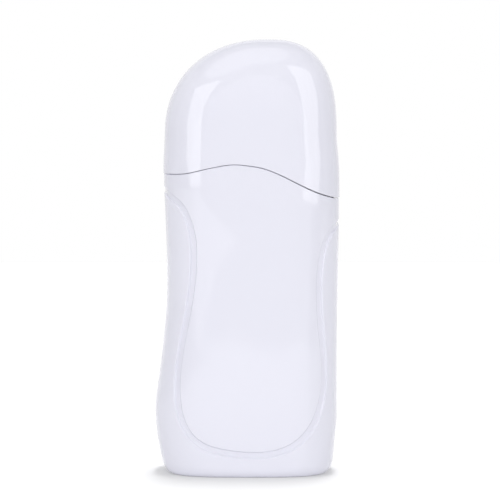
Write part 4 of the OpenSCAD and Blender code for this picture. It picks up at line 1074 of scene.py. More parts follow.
laid = [cap_skin.add(spot, normal) for spot, normal, _ in [rim_start] + outer_rows]
crown = cap_skin.add([[DOME_X, 0, TOP]], [[0, 0, 1]])
for a, b in zip(laid, laid[1:]):
    cap_skin.strip(a, b, RING)
cap_skin.faces += [(laid[-1] + i, laid[-1] + (i + 1) % RING, crown) for i in range(RING)]
chain = [laid[0]] + [rim_row(rim_start, 1, k) for k in range(1, CAP_RIM_STEPS + 1)]
chain += [rim_row(inner_start, -1, k) for k in range(CAP_RIM_STEPS, -1, -1)]
chain += [cap_skin.add(spot, -normal) for spot, normal, _ in inner_rows]
for a, b in zip(chain, chain[1:]):
    cap_skin.strip(b, a, RING)
inner_crown = cap_skin.add([[DOME_X, 0, TOP - WALL]], [[0, 0, -1]])
cap_skin.faces += [(chain[-1] + (i + 1) % RING, chain[-1] + i, inner_crown) for i in range(RING)]
print("points of the cap:", cap_skin.count)

# %% [markdown]
# ### Guide ribs
# Four small ribs inside the cap slide along the neck's front and rear and keep the cap from rocking. They end
# a hair short of the neck, which is the body's own outline, sunk by more than the wall.

# %% Ribs, and the finished cap
# Where the neck is measured and how far it is sunk; the ribs' x, heights, half width, edges and distances.
NECK_Z, NECK_SINK = 112.0, 2.7
RIB_X, RIB_LOW, RIB_HIGH = (-11.5, 13.5), 134, 146
RIB_HALF, RIB_EDGE = 0.7, 0.25
RIB_NEAR, RIB_FAR = 0.15, 1.35
_, _, _, neck_front, neck_rear = (float(reach) for reach in reaches(np.array(NECK_Z), NECK_SINK))
for x in RIB_X:
    for low_y, high_y in ((-neck_front - RIB_FAR, -neck_front - RIB_NEAR),
                          (neck_rear + RIB_NEAR, neck_rear + RIB_FAR)):
        soft_block(cap_skin, (x - RIB_HALF, low_y, RIB_LOW), (x + RIB_HALF, high_y, RIB_HIGH), RIB_EDGE)
cap = cap_skin.piece("cap_skin", "cap", ["cap"])

# %% [markdown]
# ## Finishes
# A finish is more than a colour: gloss plastic has a faint waviness from the mould and a film of fine dust on
# what faces up. Painted images would need unwrapping and show their pixels from near by, so all of it is made
# from nodes. Effects that several finishes share are node groups with named values, and each material places
# them with its own numbers. A few helpers keep the node building short.

# %% Node helpers
def group_of(name, inputs, outputs):
    """An empty node group with float or colour sockets."""
    tree = bpy.data.node_groups.new(name, "ShaderNodeTree")
    kinds = {"value": "NodeSocketFloat", "colour": "NodeSocketColor", "vector": "NodeSocketVector"}
    for label, kind, start in inputs:
        socket = tree.interface.new_socket(label, in_out="INPUT", socket_type=kinds[kind])
        if start is not None:
            socket.default_value = start
    for label, kind in outputs:
        tree.interface.new_socket(label, in_out="OUTPUT", socket_type=kinds[kind])
    return tree, tree.nodes.new("NodeGroupInput"), tree.nodes.new("NodeGroupOutput")


def add_node(tree, kind, settings=(), **values):
    """A node with its settings and plain input values."""
    node = tree.nodes.new(kind)
    for label, value in dict(settings).items():
        setattr(node, label, value)
    for label, value in values.items():
        node.inputs[label.replace("_", " ")].default_value = value
    return node


def calc(tree, operation, first, second):
    """A Math node from two sockets or numbers."""
    node = add_node(tree, "ShaderNodeMath", {"operation": operation})
    for k, value in enumerate((first, second)):
        if isinstance(value, (int, float)):
            node.inputs[k].default_value = value
        else:
            tree.links.new(value, node.inputs[k])
    return node.outputs[0]


def tell(tree):
    """Prints what a group takes and what it gives."""
    sides = {"INPUT": [], "OUTPUT": []}
    for socket in tree.interface.items_tree:
        sides[socket.in_out].append(socket.name)
    print(tree.name, "takes", ", ".join(sides["INPUT"]), "and gives", ", ".join(sides["OUTPUT"]))


print("node groups before the first effect:", len(bpy.data.node_groups))

# %% [markdown]
# ### The mould's faint waviness
# Moulds are polished by hand, so glossy plastic is never quite flat. Broad soft waves bend its reflections a
# little, and a trace of grain lies on top. Sculpting that would take millions of points. As a height for a
# Bump node it costs none: two noise textures, weighted and added up.

# %% Shared effect: the mould's faint waviness
mould_tree, mould_in, mould_out = group_of(
    "mould_surface", [("Wave Size", "value", 60.0), ("Grain Size", "value", 2500.0),
                      ("Grain Share", "value", 0.2)], [("Height", "value")])
place_node = add_node(mould_tree, "ShaderNodeTexCoord")
waves = add_node(mould_tree, "ShaderNodeTexNoise", Detail=2.0, Roughness=0.5)
grain = add_node(mould_tree, "ShaderNodeTexNoise", Detail=3.0, Roughness=0.6)
for texture, size in ((waves, "Wave Size"), (grain, "Grain Size")):
    mould_tree.links.new(place_node.outputs["Object"], texture.inputs["Vector"])
    mould_tree.links.new(mould_in.outputs[size], texture.inputs["Scale"])
weighted = calc(mould_tree, "MULTIPLY", grain.outputs["Fac"], mould_in.outputs["Grain Share"])
mould_tree.links.new(calc(mould_tree, "ADD", waves.outputs["Fac"], weighted), mould_out.inputs["Height"])
tell(mould_tree)

# %% [markdown]
# ### Dust that settles on what faces up
# Dust gathers on the crown and on the deck and hardly on a wall. The upward part of the normal, times a fine
# noise, gives a mask that does just that. The dust turns with the part, as it would on a shelf.

# %% Shared effect: dust that settles on what faces up
dust_tree, dust_in, dust_out = group_of(
    "settled_dust", [("Amount", "value", 0.05), ("Speck Size", "value", 900.0)], [("Mask", "value")])
facing = add_node(dust_tree, "ShaderNodeNewGeometry")
split = add_node(dust_tree, "ShaderNodeSeparateXYZ")
dust_tree.links.new(facing.outputs["Normal"], split.inputs[0])
place_node = add_node(dust_tree, "ShaderNodeTexCoord")
specks = add_node(dust_tree, "ShaderNodeTexNoise", Detail=4.0, Roughness=0.7)
dust_tree.links.new(place_node.outputs["Object"], specks.inputs["Vector"])
dust_tree.links.new(dust_in.outputs["Speck Size"], specks.inputs["Scale"])
upness = calc(dust_tree, "MAXIMUM", split.outputs["Z"], 0.0)
specked = calc(dust_tree, "MULTIPLY", upness, specks.outputs["Fac"])
dust_tree.links.new(calc(dust_tree, "MULTIPLY", specked, dust_in.outputs["Amount"]), dust_out.inputs["Mask"])
tell(dust_tree)

# %% [markdown]
# ### From effects to a finish
# A finish starts from one shader with its plain values. Effects then blend two tones, spread the roughness
# and raise a grain. A real edge is never quite sharp: the Bevel node bends the shading normal near edges,
# which costs no faces, and the Bump node adds the grain on top of that.

# %% Helpers for finishes
def place_group(tree, group, **values):
    """Places an effect in a material, with the material's own values."""
    node = tree.nodes.new("ShaderNodeGroup")
    node.node_tree = group
    for label, value in values.items():
        node.inputs[label.replace("_", " ")].default_value = value
    return node


def new_finish(name, colour, roughness, **plain):
    """A material with a Principled shader and its plain values."""
    finish = bpy.data.materials.new(name)
    finish.use_nodes = True
    tree = finish.node_tree
    shader = tree.nodes["Principled BSDF"]
    shader.inputs["Base Color"].default_value = (*colour, 1)
    shader.inputs["Roughness"].default_value = roughness
    for label, value in plain.items():
        shader.inputs[label.replace("_", " ")].default_value = value
    return finish, tree, shader


def two_tones(tree, shader, mask, first, second):
    """The base colour goes from first to second where the mask is."""
    tint = add_node(tree, "ShaderNodeMix", {"data_type": "RGBA"})
    tint.inputs["A"].default_value, tint.inputs["B"].default_value = (*first, 1), (*second, 1)
    tree.links.new(mask, tint.inputs["Factor"])
    tree.links.new(tint.outputs["Result"], shader.inputs["Base Color"])


def rough_between(tree, shader, mask, low, high):
    """The roughness goes from low to high where the mask is."""
    spread = add_node(tree, "ShaderNodeMapRange", To_Min=low, To_Max=high)
    tree.links.new(mask, spread.inputs["Value"])
    tree.links.new(spread.outputs["Result"], shader.inputs["Roughness"])


def raise_by(tree, shader, height, strength, distance, edge=0.0002):
    """Grain from a height, on top of edges that look rounded by the radius edge; both lengths in metres."""
    rounded = add_node(tree, "ShaderNodeBevel", {"samples": 3}, Radius=edge)
    bump = add_node(tree, "ShaderNodeBump", Strength=strength, Distance=distance)
    tree.links.new(rounded.outputs["Normal"], bump.inputs["Normal"])
    tree.links.new(height, bump.inputs["Height"])
    tree.links.new(bump.outputs["Normal"], shader.inputs["Normal"])


print("effects so far:", [group.name for group in bpy.data.node_groups])

# %% [markdown]
# ### Wearing a finish
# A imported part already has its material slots, so its finish goes into them and its mesh stays untouched.

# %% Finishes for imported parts
def dress(finish, *names):
    """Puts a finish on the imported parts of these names."""
    for name in names:
        slots = nodes[name].material_slots
        if not len(slots):
            nodes[name].data.materials.append(finish)
        for held in slots:
            held.material = finish
    print(finish.name, "on", ", ".join(names))


print("packed parts that can be dressed:", len(nodes))

# %% [markdown]
# ### Gloss white
# The housing is a cool white ABS with a high polish. Dust dulls it by a hair and greys it where it faces up,
# and the mould's waviness bends reflections very slightly, which tells the eye it is plastic. The skins have
# real rounded rims and true normals, so here a Bump node is enough and no Bevel node is needed.

# %% Gloss white
COOL_WHITE, DUSTY_WHITE = (0.83, 0.83, 0.92), (0.80, 0.79, 0.85)
CLEAN_ROUGHNESS, DUST_ROUGHNESS = 0.02, 0.6
gloss_white, tree, shader = new_finish("gloss_white_abs", COOL_WHITE, 0.04)
mould = place_group(tree, mould_tree, Wave_Size=45.0, Grain_Size=1800.0, Grain_Share=0.008)
bump = add_node(tree, "ShaderNodeBump", Strength=0.06, Distance=0.0002)
tree.links.new(mould.outputs["Height"], bump.inputs["Height"])
tree.links.new(bump.outputs["Normal"], shader.inputs["Normal"])
dust = place_group(tree, dust_tree, Amount=0.1, Speck_Size=900.0)
two_tones(tree, shader, dust.outputs["Mask"], COOL_WHITE, DUSTY_WHITE)
dulled = calc(tree, "MULTIPLY", dust.outputs["Mask"], DUST_ROUGHNESS)
tree.links.new(calc(tree, "ADD", dulled, CLEAN_ROUGHNESS), shader.inputs["Roughness"])
for thing in (front, rear, cap):
    thing.data.materials.append(gloss_white)
    print(gloss_white.name, "on", thing.name)

# %% [markdown]
# ## Effects for the parts inside
# Sheet metal is rolled, pins are drawn, plastic pellets melt a little unevenly, and zinc grows in blotches.
# Each of these is one small group. The first is the fine lines of rolling: a noise that is stretched along
# one direction, once fine for the height and once wide for the shade.

# %% Shared effect: lines left by rolling, drawing or brushing
lines_tree, lines_in, lines_out = group_of(
    "drawn_lines", [("Stretch", "vector", (3000.0, 3000.0, 120.0)), ("Shade Size", "value", 0.08)],
    [("Height", "value"), ("Shade", "value")])
place_node = add_node(lines_tree, "ShaderNodeTexCoord")
stretched = add_node(lines_tree, "ShaderNodeVectorMath", {"operation": "MULTIPLY"})
lines_tree.links.new(place_node.outputs["Object"], stretched.inputs[0])
lines_tree.links.new(lines_in.outputs["Stretch"], stretched.inputs[1])
fine_lines = add_node(lines_tree, "ShaderNodeTexNoise", Scale=1.0, Detail=3.0, Roughness=0.6)
wide_lines = add_node(lines_tree, "ShaderNodeTexNoise", Detail=2.0, Roughness=0.5)
lines_tree.links.new(lines_in.outputs["Shade Size"], wide_lines.inputs["Scale"])
for texture, label in ((fine_lines, "Height"), (wide_lines, "Shade")):
    lines_tree.links.new(stretched.outputs[0], texture.inputs["Vector"])
    lines_tree.links.new(texture.outputs["Fac"], lines_out.inputs[label])
tell(lines_tree)

# %% [markdown]
# ### Soft patches
# Tarnish, wipe marks and flow marks all come in patches with soft edges. A cloudy noise is cut off below a
# level that sets how much is covered, and stretched by a factor that sets how sharp the edges are.

# %% Shared effect: soft patches
patch_tree, patch_in, patch_out = group_of(
    "soft_patches", [("Size", "value", 120.0), ("Cover", "value", 0.5), ("Sharpness", "value", 6.0)],
    [("Mask", "value")])
place_node = add_node(patch_tree, "ShaderNodeTexCoord")
clouds = add_node(patch_tree, "ShaderNodeTexNoise", Detail=5.0, Roughness=0.62)
patch_tree.links.new(place_node.outputs["Object"], clouds.inputs["Vector"])
patch_tree.links.new(patch_in.outputs["Size"], clouds.inputs["Scale"])
bare = calc(patch_tree, "SUBTRACT", 1.0, patch_in.outputs["Cover"])
raised = calc(patch_tree, "MULTIPLY", calc(patch_tree, "SUBTRACT", clouds.outputs["Fac"], bare),
              patch_in.outputs["Sharpness"])
kept = calc(patch_tree, "MINIMUM", calc(patch_tree, "MAXIMUM", raised, 0.0), 1.0)
patch_tree.links.new(kept, patch_out.inputs["Mask"])
tell(patch_tree)

# %% [markdown]
# ### Grown cells
# Zinc crystals, mica flakes and the pores of fired clay are all cells that have grown against each other. A
# Voronoi texture grows just such cells: its colour gives each one a tone, its distance a domed height.

# %% Shared effect: cells, for crystals, flakes and pores
cell_tree, cell_in, cell_out = group_of(
    "grown_cells", [("Stretch", "vector", (900.0, 900.0, 900.0))], [("Tone", "value"), ("Height", "value")])
place_node = add_node(cell_tree, "ShaderNodeTexCoord")
stretched = add_node(cell_tree, "ShaderNodeVectorMath", {"operation": "MULTIPLY"})
cell_tree.links.new(place_node.outputs["Object"], stretched.inputs[0])
cell_tree.links.new(cell_in.outputs["Stretch"], stretched.inputs[1])
cells = add_node(cell_tree, "ShaderNodeTexVoronoi", Scale=1.0)
cell_tree.links.new(stretched.outputs[0], cells.inputs["Vector"])
cell_colour = add_node(cell_tree, "ShaderNodeSeparateColor")
cell_tree.links.new(cells.outputs["Color"], cell_colour.inputs[0])
cell_tree.links.new(cell_colour.outputs[0], cell_out.inputs["Tone"])
cell_tree.links.new(cells.outputs["Distance"], cell_out.inputs["Height"])
tell(cell_tree)

# %% [markdown]
# ### Crossing strands
# The sleeves of the leads are braided and the board is glass cloth in resin. Real strands in geometry would
# be far too many. Two sine waves that cross each other give the same pattern of small hills.

# %% Shared effect: two sets of crossing strands
weave_tree, weave_in, weave_out = group_of(
    "crossing_strands", [("First Way", "vector", (1500.0, 1500.0, 1500.0)),
                         ("Second Way", "vector", (1500.0, -1500.0, -1500.0))], [("Height", "value")])
place_node = add_node(weave_tree, "ShaderNodeTexCoord")
strands = []
for label in ("First Way", "Second Way"):
    along = add_node(weave_tree, "ShaderNodeVectorMath", {"operation": "DOT_PRODUCT"})
    weave_tree.links.new(place_node.outputs["Object"], along.inputs[0])
    weave_tree.links.new(weave_in.outputs[label], along.inputs[1])
    wave = add_node(weave_tree, "ShaderNodeMath", {"operation": "SINE"})
    weave_tree.links.new(along.outputs["Value"], wave.inputs[0])
    strands.append(wave.outputs[0])
crossed = calc(weave_tree, "MULTIPLY", strands[0], strands[1])
halved = calc(weave_tree, "MULTIPLY", crossed, 0.5)
weave_tree.links.new(calc(weave_tree, "ADD", halved, 0.5), weave_out.inputs["Height"])
tell(weave_tree)

# %% [markdown]
# ### Satin and dark plastic
# Inner parts leave the mould with a fine spark-eroded texture, so they look satin. The tone drifts slightly
# where the melt flowed, and dust settles on the deck around the bay. One loop makes all three plastics, since
# they differ only in their tones, their roughness and how deep the texture is.

# %% Satin white, dark plastic and blue terminal plastic
# Name, clean tone, drifted tone, lowest and highest roughness, strength of the texture, and who wears it.
PLASTICS = [("satin_white_abs", (0.82, 0.83, 0.86), (0.77, 0.78, 0.80), 0.36, 0.5, 0.3,
             ("mouth_collar", "base_cover")),
            ("dark_heatproof_plastic", (0.15, 0.15, 0.17), (0.21, 0.205, 0.20), 0.42, 0.6, 0.5,
             ("well_cradle", "inlet_socket")),
            ("blue_terminal_plastic", (0.22, 0.45, 0.62), (0.17, 0.38, 0.56), 0.28, 0.44, 0.2,
             ("terminal_block",))]
for name, first, second, low, high, strength, worn_by in PLASTICS:
    finish, tree, shader = new_finish(name, first, low, IOR=1.52)
    flow = place_group(tree, patch_tree, Size=70.0, Cover=0.55, Sharpness=3.0)
    dust = place_group(tree, dust_tree, Amount=0.5, Speck_Size=700.0)
    mould = place_group(tree, mould_tree, Wave_Size=55.0, Grain_Size=4200.0, Grain_Share=0.5)
    drift = calc(tree, "MULTIPLY", flow.outputs["Mask"], 0.5)
    two_tones(tree, shader, calc(tree, "MAXIMUM", drift, dust.outputs["Mask"]), first, second)
    matter = calc(tree, "MULTIPLY", flow.outputs["Mask"], 0.6)
    rough_between(tree, shader, calc(tree, "ADD", matter, dust.outputs["Mask"]), low, high)
    raise_by(tree, shader, mould.outputs["Height"], strength, distance=0.0001, edge=0.0003)
    dress(finish, *worn_by)

# %% [markdown]
# ### Metals
# The well is mill-finish aluminium with lines from rolling. Springs and strap are rolled steel with a trace
# of temper colour, and pins and plates are brass with a little tarnish. Metal shows almost nothing but what
# it reflects, so the lines in its roughness count for more than its colour.

# %% Rolled and drawn metals
# Name, bright and stained tone, lowest and highest roughness, stretch of the lines, strength, who wears it.
METALS = [("mill_aluminium", (0.78, 0.79, 0.80), (0.70, 0.71, 0.73), 0.24, 0.42,
           (2600.0, 2600.0, 90.0), 0.35, ("heater_well",)),
          ("rolled_spring_steel", (0.60, 0.61, 0.63), (0.55, 0.50, 0.43), 0.2, 0.38,
           (3000.0, 3000.0, 120.0), 0.3, ("cartridge_springs", "heater_clamp")),
          ("bright_brass", (0.83, 0.69, 0.37), (0.62, 0.45, 0.23), 0.16, 0.38,
           (2800.0, 140.0, 2800.0), 0.22, ("electrode_plates", "thermostat", "inlet_pins"))]
for name, first, second, low, high, stretch, strength, worn_by in METALS:
    finish, tree, shader = new_finish(name, first, low, Metallic=1.0)
    lines = place_group(tree, lines_tree, Stretch=stretch, Shade_Size=0.08)
    stain = place_group(tree, patch_tree, Size=160.0, Cover=0.46, Sharpness=5.0)
    stained = calc(tree, "MULTIPLY", stain.outputs["Mask"], lines.outputs["Shade"])
    two_tones(tree, shader, stained, first, second)
    rough_between(tree, shader, lines.outputs["Shade"], low, high)
    raise_by(tree, shader, lines.outputs["Height"], strength, distance=0.00006)
    dress(finish, *worn_by)

# %% [markdown]
# ### Zinc
# Screws are steel under a thin coat of zinc, whose crystals catch the light one by one and yellow a little
# where the film on them is thick. The crystals are the cells, the film is the soft patches.

# %% Zinc-coated steel
zinc, tree, shader = new_finish("zinc_coated_steel", (0.66, 0.67, 0.69), 0.3, Metallic=1.0)
crystals = place_group(tree, cell_tree, Stretch=(1400.0, 1400.0, 1400.0))
film = place_group(tree, patch_tree, Size=420.0, Cover=0.5, Sharpness=4.0)
two_tones(tree, shader, calc(tree, "MULTIPLY", crystals.outputs["Tone"], film.outputs["Mask"]),
          (0.68, 0.69, 0.72), (0.60, 0.59, 0.53))
rough_between(tree, shader, crystals.outputs["Tone"], 0.2, 0.42)
raise_by(tree, shader, crystals.outputs["Height"], 0.15, distance=0.00004, edge=0.00015)
dress(zinc, "shell_screws", "cradle_screws", "clamp_screws", "thermal_fuse", "board_screws")

# %% [markdown]
# ### Ceramic
# Heating tiles and the resistor are fired clay with open pores and no glaze. The pores are cells again, very
# fine, and they take the gloss away wherever they are dense.

# %% Fired ceramic
fired, tree, shader = new_finish("fired_ceramic", (0.34, 0.33, 0.33), 0.8)
pores = place_group(tree, cell_tree, Stretch=(2600.0, 2600.0, 2600.0))
bloom = place_group(tree, patch_tree, Size=300.0, Cover=0.5, Sharpness=4.0)
two_tones(tree, shader, calc(tree, "MULTIPLY", pores.outputs["Tone"], bloom.outputs["Mask"]),
          (0.33, 0.32, 0.32), (0.44, 0.42, 0.40))
rough_between(tree, shader, pores.outputs["Tone"], 0.68, 0.92)
raise_by(tree, shader, pores.outputs["Height"], 0.5, distance=0.0001)
dress(fired, "ptc_tiles", "lamp_resistor")

# %% [markdown]
# ### Mica
# Mica splits into flakes that catch the light one by one. Longer cells give the flakes their tones, and a
# thin coat on top gives the glassy sheen of a freshly split sheet.

# %% Mica sheet
mica, tree, shader = new_finish("split_mica", (0.72, 0.66, 0.52), 0.35, Coat_Weight=0.4, Coat_Roughness=0.15)
flakes = place_group(tree, cell_tree, Stretch=(260.0, 500.0, 180.0))
two_tones(tree, shader, flakes.outputs["Tone"], (0.62, 0.54, 0.40), (0.80, 0.74, 0.60))
rough_between(tree, shader, flakes.outputs["Tone"], 0.22, 0.5)
raise_by(tree, shader, flakes.outputs["Height"], 0.35, distance=0.0001, edge=0.0001)
dress(mica, "mica_sheets")

# %% [markdown]
# ### The board
# Under the solder mask lie the tracks, which show as a paler green with a faint step, and the weave of the
# glass cloth. Cutting the cells' tone off at one level leaves broad islands, as poured copper does.

# %% Circuit board under solder mask
board, tree, shader = new_finish("solder_mask_green", (0.2, 0.42, 0.26), 0.3, Coat_Weight=0.3,
                                 Coat_Roughness=0.1)
tracks = place_group(tree, cell_tree, Stretch=(420.0, 420.0, 150.0))
weave = place_group(tree, weave_tree, First_Way=(5200.0, 0.0, 0.0), Second_Way=(0.0, 0.0, 5200.0))
track_mask = calc(tree, "GREATER_THAN", tracks.outputs["Tone"], 0.55)
track_tone = calc(tree, "MULTIPLY", track_mask, 0.7)
cloth_tone = calc(tree, "MULTIPLY", weave.outputs["Height"], 0.2)
two_tones(tree, shader, calc(tree, "ADD", track_tone, cloth_tone), (0.17, 0.38, 0.23), (0.26, 0.52, 0.31))
rough_between(tree, shader, weave.outputs["Height"], 0.24, 0.36)
cloth_height = calc(tree, "MULTIPLY", weave.outputs["Height"], 0.15)
raise_by(tree, shader, calc(tree, "ADD", track_mask, cloth_height), 0.3, distance=0.00004, edge=0.0001)
dress(board, "circuit_board")

# %% [markdown]
# ### The window
# The sight window is clear polycarbonate with faint wipe marks. A clear thing shows its dirt in the roughness
# first, so the wipe marks go there, and only a breath of haze goes into the colour.

# %% Clear window
window, tree, shader = new_finish("clear_polycarbonate", (0.90, 0.95, 0.97), 0.05, IOR=1.58)
shader.inputs["Transmission Weight"].default_value = 1.0
wiped = place_group(tree, lines_tree, Stretch=(900.0, 400.0, 60.0), Shade_Size=0.4)
haze = place_group(tree, patch_tree, Size=90.0, Cover=0.5, Sharpness=3.0)
two_tones(tree, shader, haze.outputs["Mask"], (0.92, 0.97, 0.99), (0.86, 0.91, 0.94))
smeared = calc(tree, "MULTIPLY", wiped.outputs["Shade"], haze.outputs["Mask"])
rough_between(tree, shader, smeared, 0.03, 0.16)
raise_by(tree, shader, wiped.outputs["Height"], 0.04, distance=0.00005)
dress(window, "sight_window")

# %% [markdown]
# ### Lamp and light pipe
# They are tinted plastic, slightly cloudy and unlit. Only half of the light passes, the rest is scattered as
# by a solid colour, which is simpler and faster than a volume with real scattering.

# %% Amber lamp and light pipe
amber, tree, shader = new_finish("cloudy_amber", (0.95, 0.5, 0.25), 0.2, IOR=1.5)
shader.inputs["Transmission Weight"].default_value = 0.55
cloud = place_group(tree, patch_tree, Size=600.0, Cover=0.55, Sharpness=2.5)
mould = place_group(tree, mould_tree, Wave_Size=300.0, Grain_Size=4000.0, Grain_Share=0.3)
two_tones(tree, shader, cloud.outputs["Mask"], (0.95, 0.48, 0.22), (0.96, 0.60, 0.34))
rough_between(tree, shader, cloud.outputs["Mask"], 0.12, 0.32)
raise_by(tree, shader, mould.outputs["Height"], 0.15, distance=0.0001, edge=0.0003)
dress(amber, "indicator_lamp", "indicator_lens")

# %% [markdown]
# ### The leads
# Leads near a heater wear braided glass sleeves soaked in silicone: off-white, matt, and a bit grey between
# the strands, where dirt stays.

# %% Braided sleeves of the leads
sleeve, tree, shader = new_finish("glass_silicone_sleeve", (0.85, 0.86, 0.88), 0.6)
braid = place_group(tree, weave_tree, First_Way=(3600.0, 3600.0, 3600.0),
                    Second_Way=(3600.0, -3600.0, -3600.0))
grime = place_group(tree, patch_tree, Size=200.0, Cover=0.5, Sharpness=3.0)
two_tones(tree, shader, calc(tree, "MULTIPLY", braid.outputs["Height"], grime.outputs["Mask"]),
          (0.85, 0.86, 0.88), (0.70, 0.70, 0.69))
rough_between(tree, shader, braid.outputs["Height"], 0.45, 0.7)
raise_by(tree, shader, braid.outputs["Height"], 0.5, distance=0.00012, edge=0.0001)
dress(sleeve, "inlet_leads", "heater_leads", "sensor_leads")

# %% [markdown]
# ## The little studio
# A product shot is taken with a long lens from a good distance, which keeps the sides of the object parallel.
# The camera stands a little above the middle and looks slightly down. It turns about the point it aims at.

# %% Camera
LENS_MM, SENSOR_MM = 200.0, 36.0
NEAREST, FARTHEST = 0.05, 20.0
DISTANCE = 1.1833
RAISE = math.radians(4.0)
aim = Vector((0.0013, -0.012, 0.0964))
camera_data = bpy.data.cameras.new("camera")
camera_data.lens = LENS_MM
camera_data.sensor_width = SENSOR_MM
camera_data.clip_start = NEAREST
camera_data.clip_end = FARTHEST
camera = bpy.data.objects.new("camera", camera_data)
bpy.context.scene.collection.objects.link(camera)
backward = Vector((0, -math.cos(RAISE), math.sin(RAISE)))
camera.location = aim + backward * DISTANCE
camera.rotation_euler = (-backward).to_track_quat("-Z", "Y").to_euler()
bpy.context.scene.camera = camera
print("camera at", [round(c, 3) for c in camera.location])

# %% [markdown]
# ### Panels for matt and for gloss
# A white glossy thing shows little but what it reflects. Two tall soft boxes stand left and right of the
# camera, one hangs overhead, and plain walls close the room. Every panel stands there twice, once for matt
# rays and once for gloss: a studio photographer gets the same freedom with diffusers and flags. The two never
# shade each other, and the camera sees none of them, only the object on a white table.

# %% Stage pieces
def stage_piece(name, points, faces, material, rays):
    """A piece of the studio that counts for matt surfaces, for gloss, or is seen by gloss and the camera."""
    mesh = bpy.data.meshes.new(name)
    mesh.from_pydata([tuple(p) for p in points], [], faces)
    mesh.update()
    mesh.materials.append(material)
    thing = bpy.data.objects.new(name, mesh)
    bpy.context.scene.collection.objects.link(thing)
    thing.visible_camera = rays == "seen"
    thing.visible_diffuse = rays == "matt"
    thing.visible_glossy = thing.visible_transmission = rays != "matt"
    thing.visible_shadow = False
    return thing


def glow(name, strength):
    """A plain white light of its own."""
    material = bpy.data.materials.new(name)
    material.use_nodes = True
    tree = material.node_tree
    tree.nodes.clear()
    light = add_node(tree, "ShaderNodeEmission", Color=(1, 1, 1, 1), Strength=strength)
    out = tree.nodes.new("ShaderNodeOutputMaterial")
    tree.links.new(light.outputs[0], out.inputs["Surface"])
    return material


def glow_panel(name, points, faces, strengths):
    """The same panel for matt rays and for gloss, each with its own strength."""
    for rays, strength in strengths.items():
        stage_piece(name + "_" + rays, points, faces, glow(name + "_" + rays + "_glow", strength), rays)


# %% [markdown]
# ### Soft boxes
# The tall highlights on the body are mirror images of the soft boxes, so the boxes' outlines are drawn to fit
# them: bent and tapering to the top, as the curved skin would otherwise show them straight. An area light has
# only plain shapes, and a glowing face of the right shape does the same job.

# %% Soft boxes
SOFT_LEFT = [(-0.69, -0.65, 0.065), (-0.48, -0.84, 0.065), (-0.465, -0.81, 0.15), (-0.46, -0.76, 0.38),
             (-0.29, -0.75, 0.86), (-0.74, -0.38, 0.76), (-0.735, -0.50, 0.40), (-0.79, -0.53, 0.15)]
SOFT_RIGHT = [(0.50, -0.86, 0.052), (0.82, -0.51, 0.052), (0.89, -0.40, 0.14), (0.85, -0.355, 0.38),
              (0.75, -0.285, 0.87), (0.25, -0.67, 1.32), (0.48, -0.755, 0.40), (0.56, -0.765, 0.13)]
SOFT_TOP = [(-0.61, -0.27, 0.94), (-0.52, -0.09, 0.94), (-0.20, 0.11, 0.94), (-0.04, 0.25, 0.94),
            (0.08, 0.23, 0.94), (0.19, -0.09, 0.94), (0.07, -0.36, 0.94), (0.0, -0.40, 0.94),
            (-0.10, -0.57, 0.94), (-0.31, -0.63, 0.94), (-0.49, -0.555, 0.94)]
for name, corners, matt, gloss in (("soft_left", SOFT_LEFT, 1.0, 2.5), ("soft_right", SOFT_RIGHT, 0.92, 2.5),
                                   ("soft_top", SOFT_TOP, 1.38, 1.25)):
    glow_panel(name, corners, [tuple(range(len(corners)))], {"matt": matt, "gloss": gloss})
    print(name, "has", len(corners), "corners")

# %% [markdown]
# ### The room
# Between the soft boxes the skin mirrors the walls. They are dim in front, so that the front panel stays
# even, and brighter behind, where the edges of the body mirror them and would otherwise get a dark outline.
# The room is built from bent panels, with a lid on top. One plain world colour couldn't be dim and bright.

# %% The room
WALL_R = 1.7
FLOOR_Z, SPLIT_Z, LID_Z = -0.4, 0.16, 1.6
WALL_STEPS, LID_STEPS = 8, 72
# The rays a panel counts for, its two angles with 0 towards the camera, its two heights, and its strength.
PANELS = [("matt", -28, 28, FLOOR_Z, SPLIT_Z, 0.5), ("matt", -28, 28, SPLIT_Z, LID_Z, 1.7),
          ("matt", -75, -28, FLOOR_Z, SPLIT_Z, 1.7), ("matt", -75, -28, SPLIT_Z, LID_Z, 0.15),
          ("matt", 28, 75, FLOOR_Z, SPLIT_Z, 0.5), ("matt", 28, 75, SPLIT_Z, LID_Z, 1.08),
          ("matt", -125, -75, FLOOR_Z, LID_Z, 0.52), ("matt", 75, 125, FLOOR_Z, LID_Z, 0.36),
          ("matt", -180, -125, FLOOR_Z, LID_Z, 1.0), ("matt", 125, 180, FLOOR_Z, LID_Z, 1.0),
          ("gloss", -28, 28, FLOOR_Z, SPLIT_Z, 0.35), ("gloss", -28, 28, SPLIT_Z, LID_Z, 0.22),
          ("gloss", -75, -28, FLOOR_Z, LID_Z, 0.4), ("gloss", 28, 75, FLOOR_Z, LID_Z, 0.4),
          ("gloss", -110, -75, FLOOR_Z, LID_Z, 0.7), ("gloss", 75, 110, FLOOR_Z, LID_Z, 0.7),
          ("gloss", -145, -110, FLOOR_Z, LID_Z, 0.9), ("gloss", 110, 145, FLOOR_Z, LID_Z, 0.85),
          ("gloss", -180, -145, FLOOR_Z, LID_Z, 0.95), ("gloss", 145, 180, FLOOR_Z, LID_Z, 0.95)]


def on_ring(angle, z):
    """A point of the room's round wall; angle 0 is towards the camera."""
    return WALL_R * math.sin(angle), -WALL_R * math.cos(angle), z


def row_faces(n):
    """Faces between two rows of n + 1 points each."""
    return [(i, i + 1, n + 2 + i, n + 1 + i) for i in range(n)]


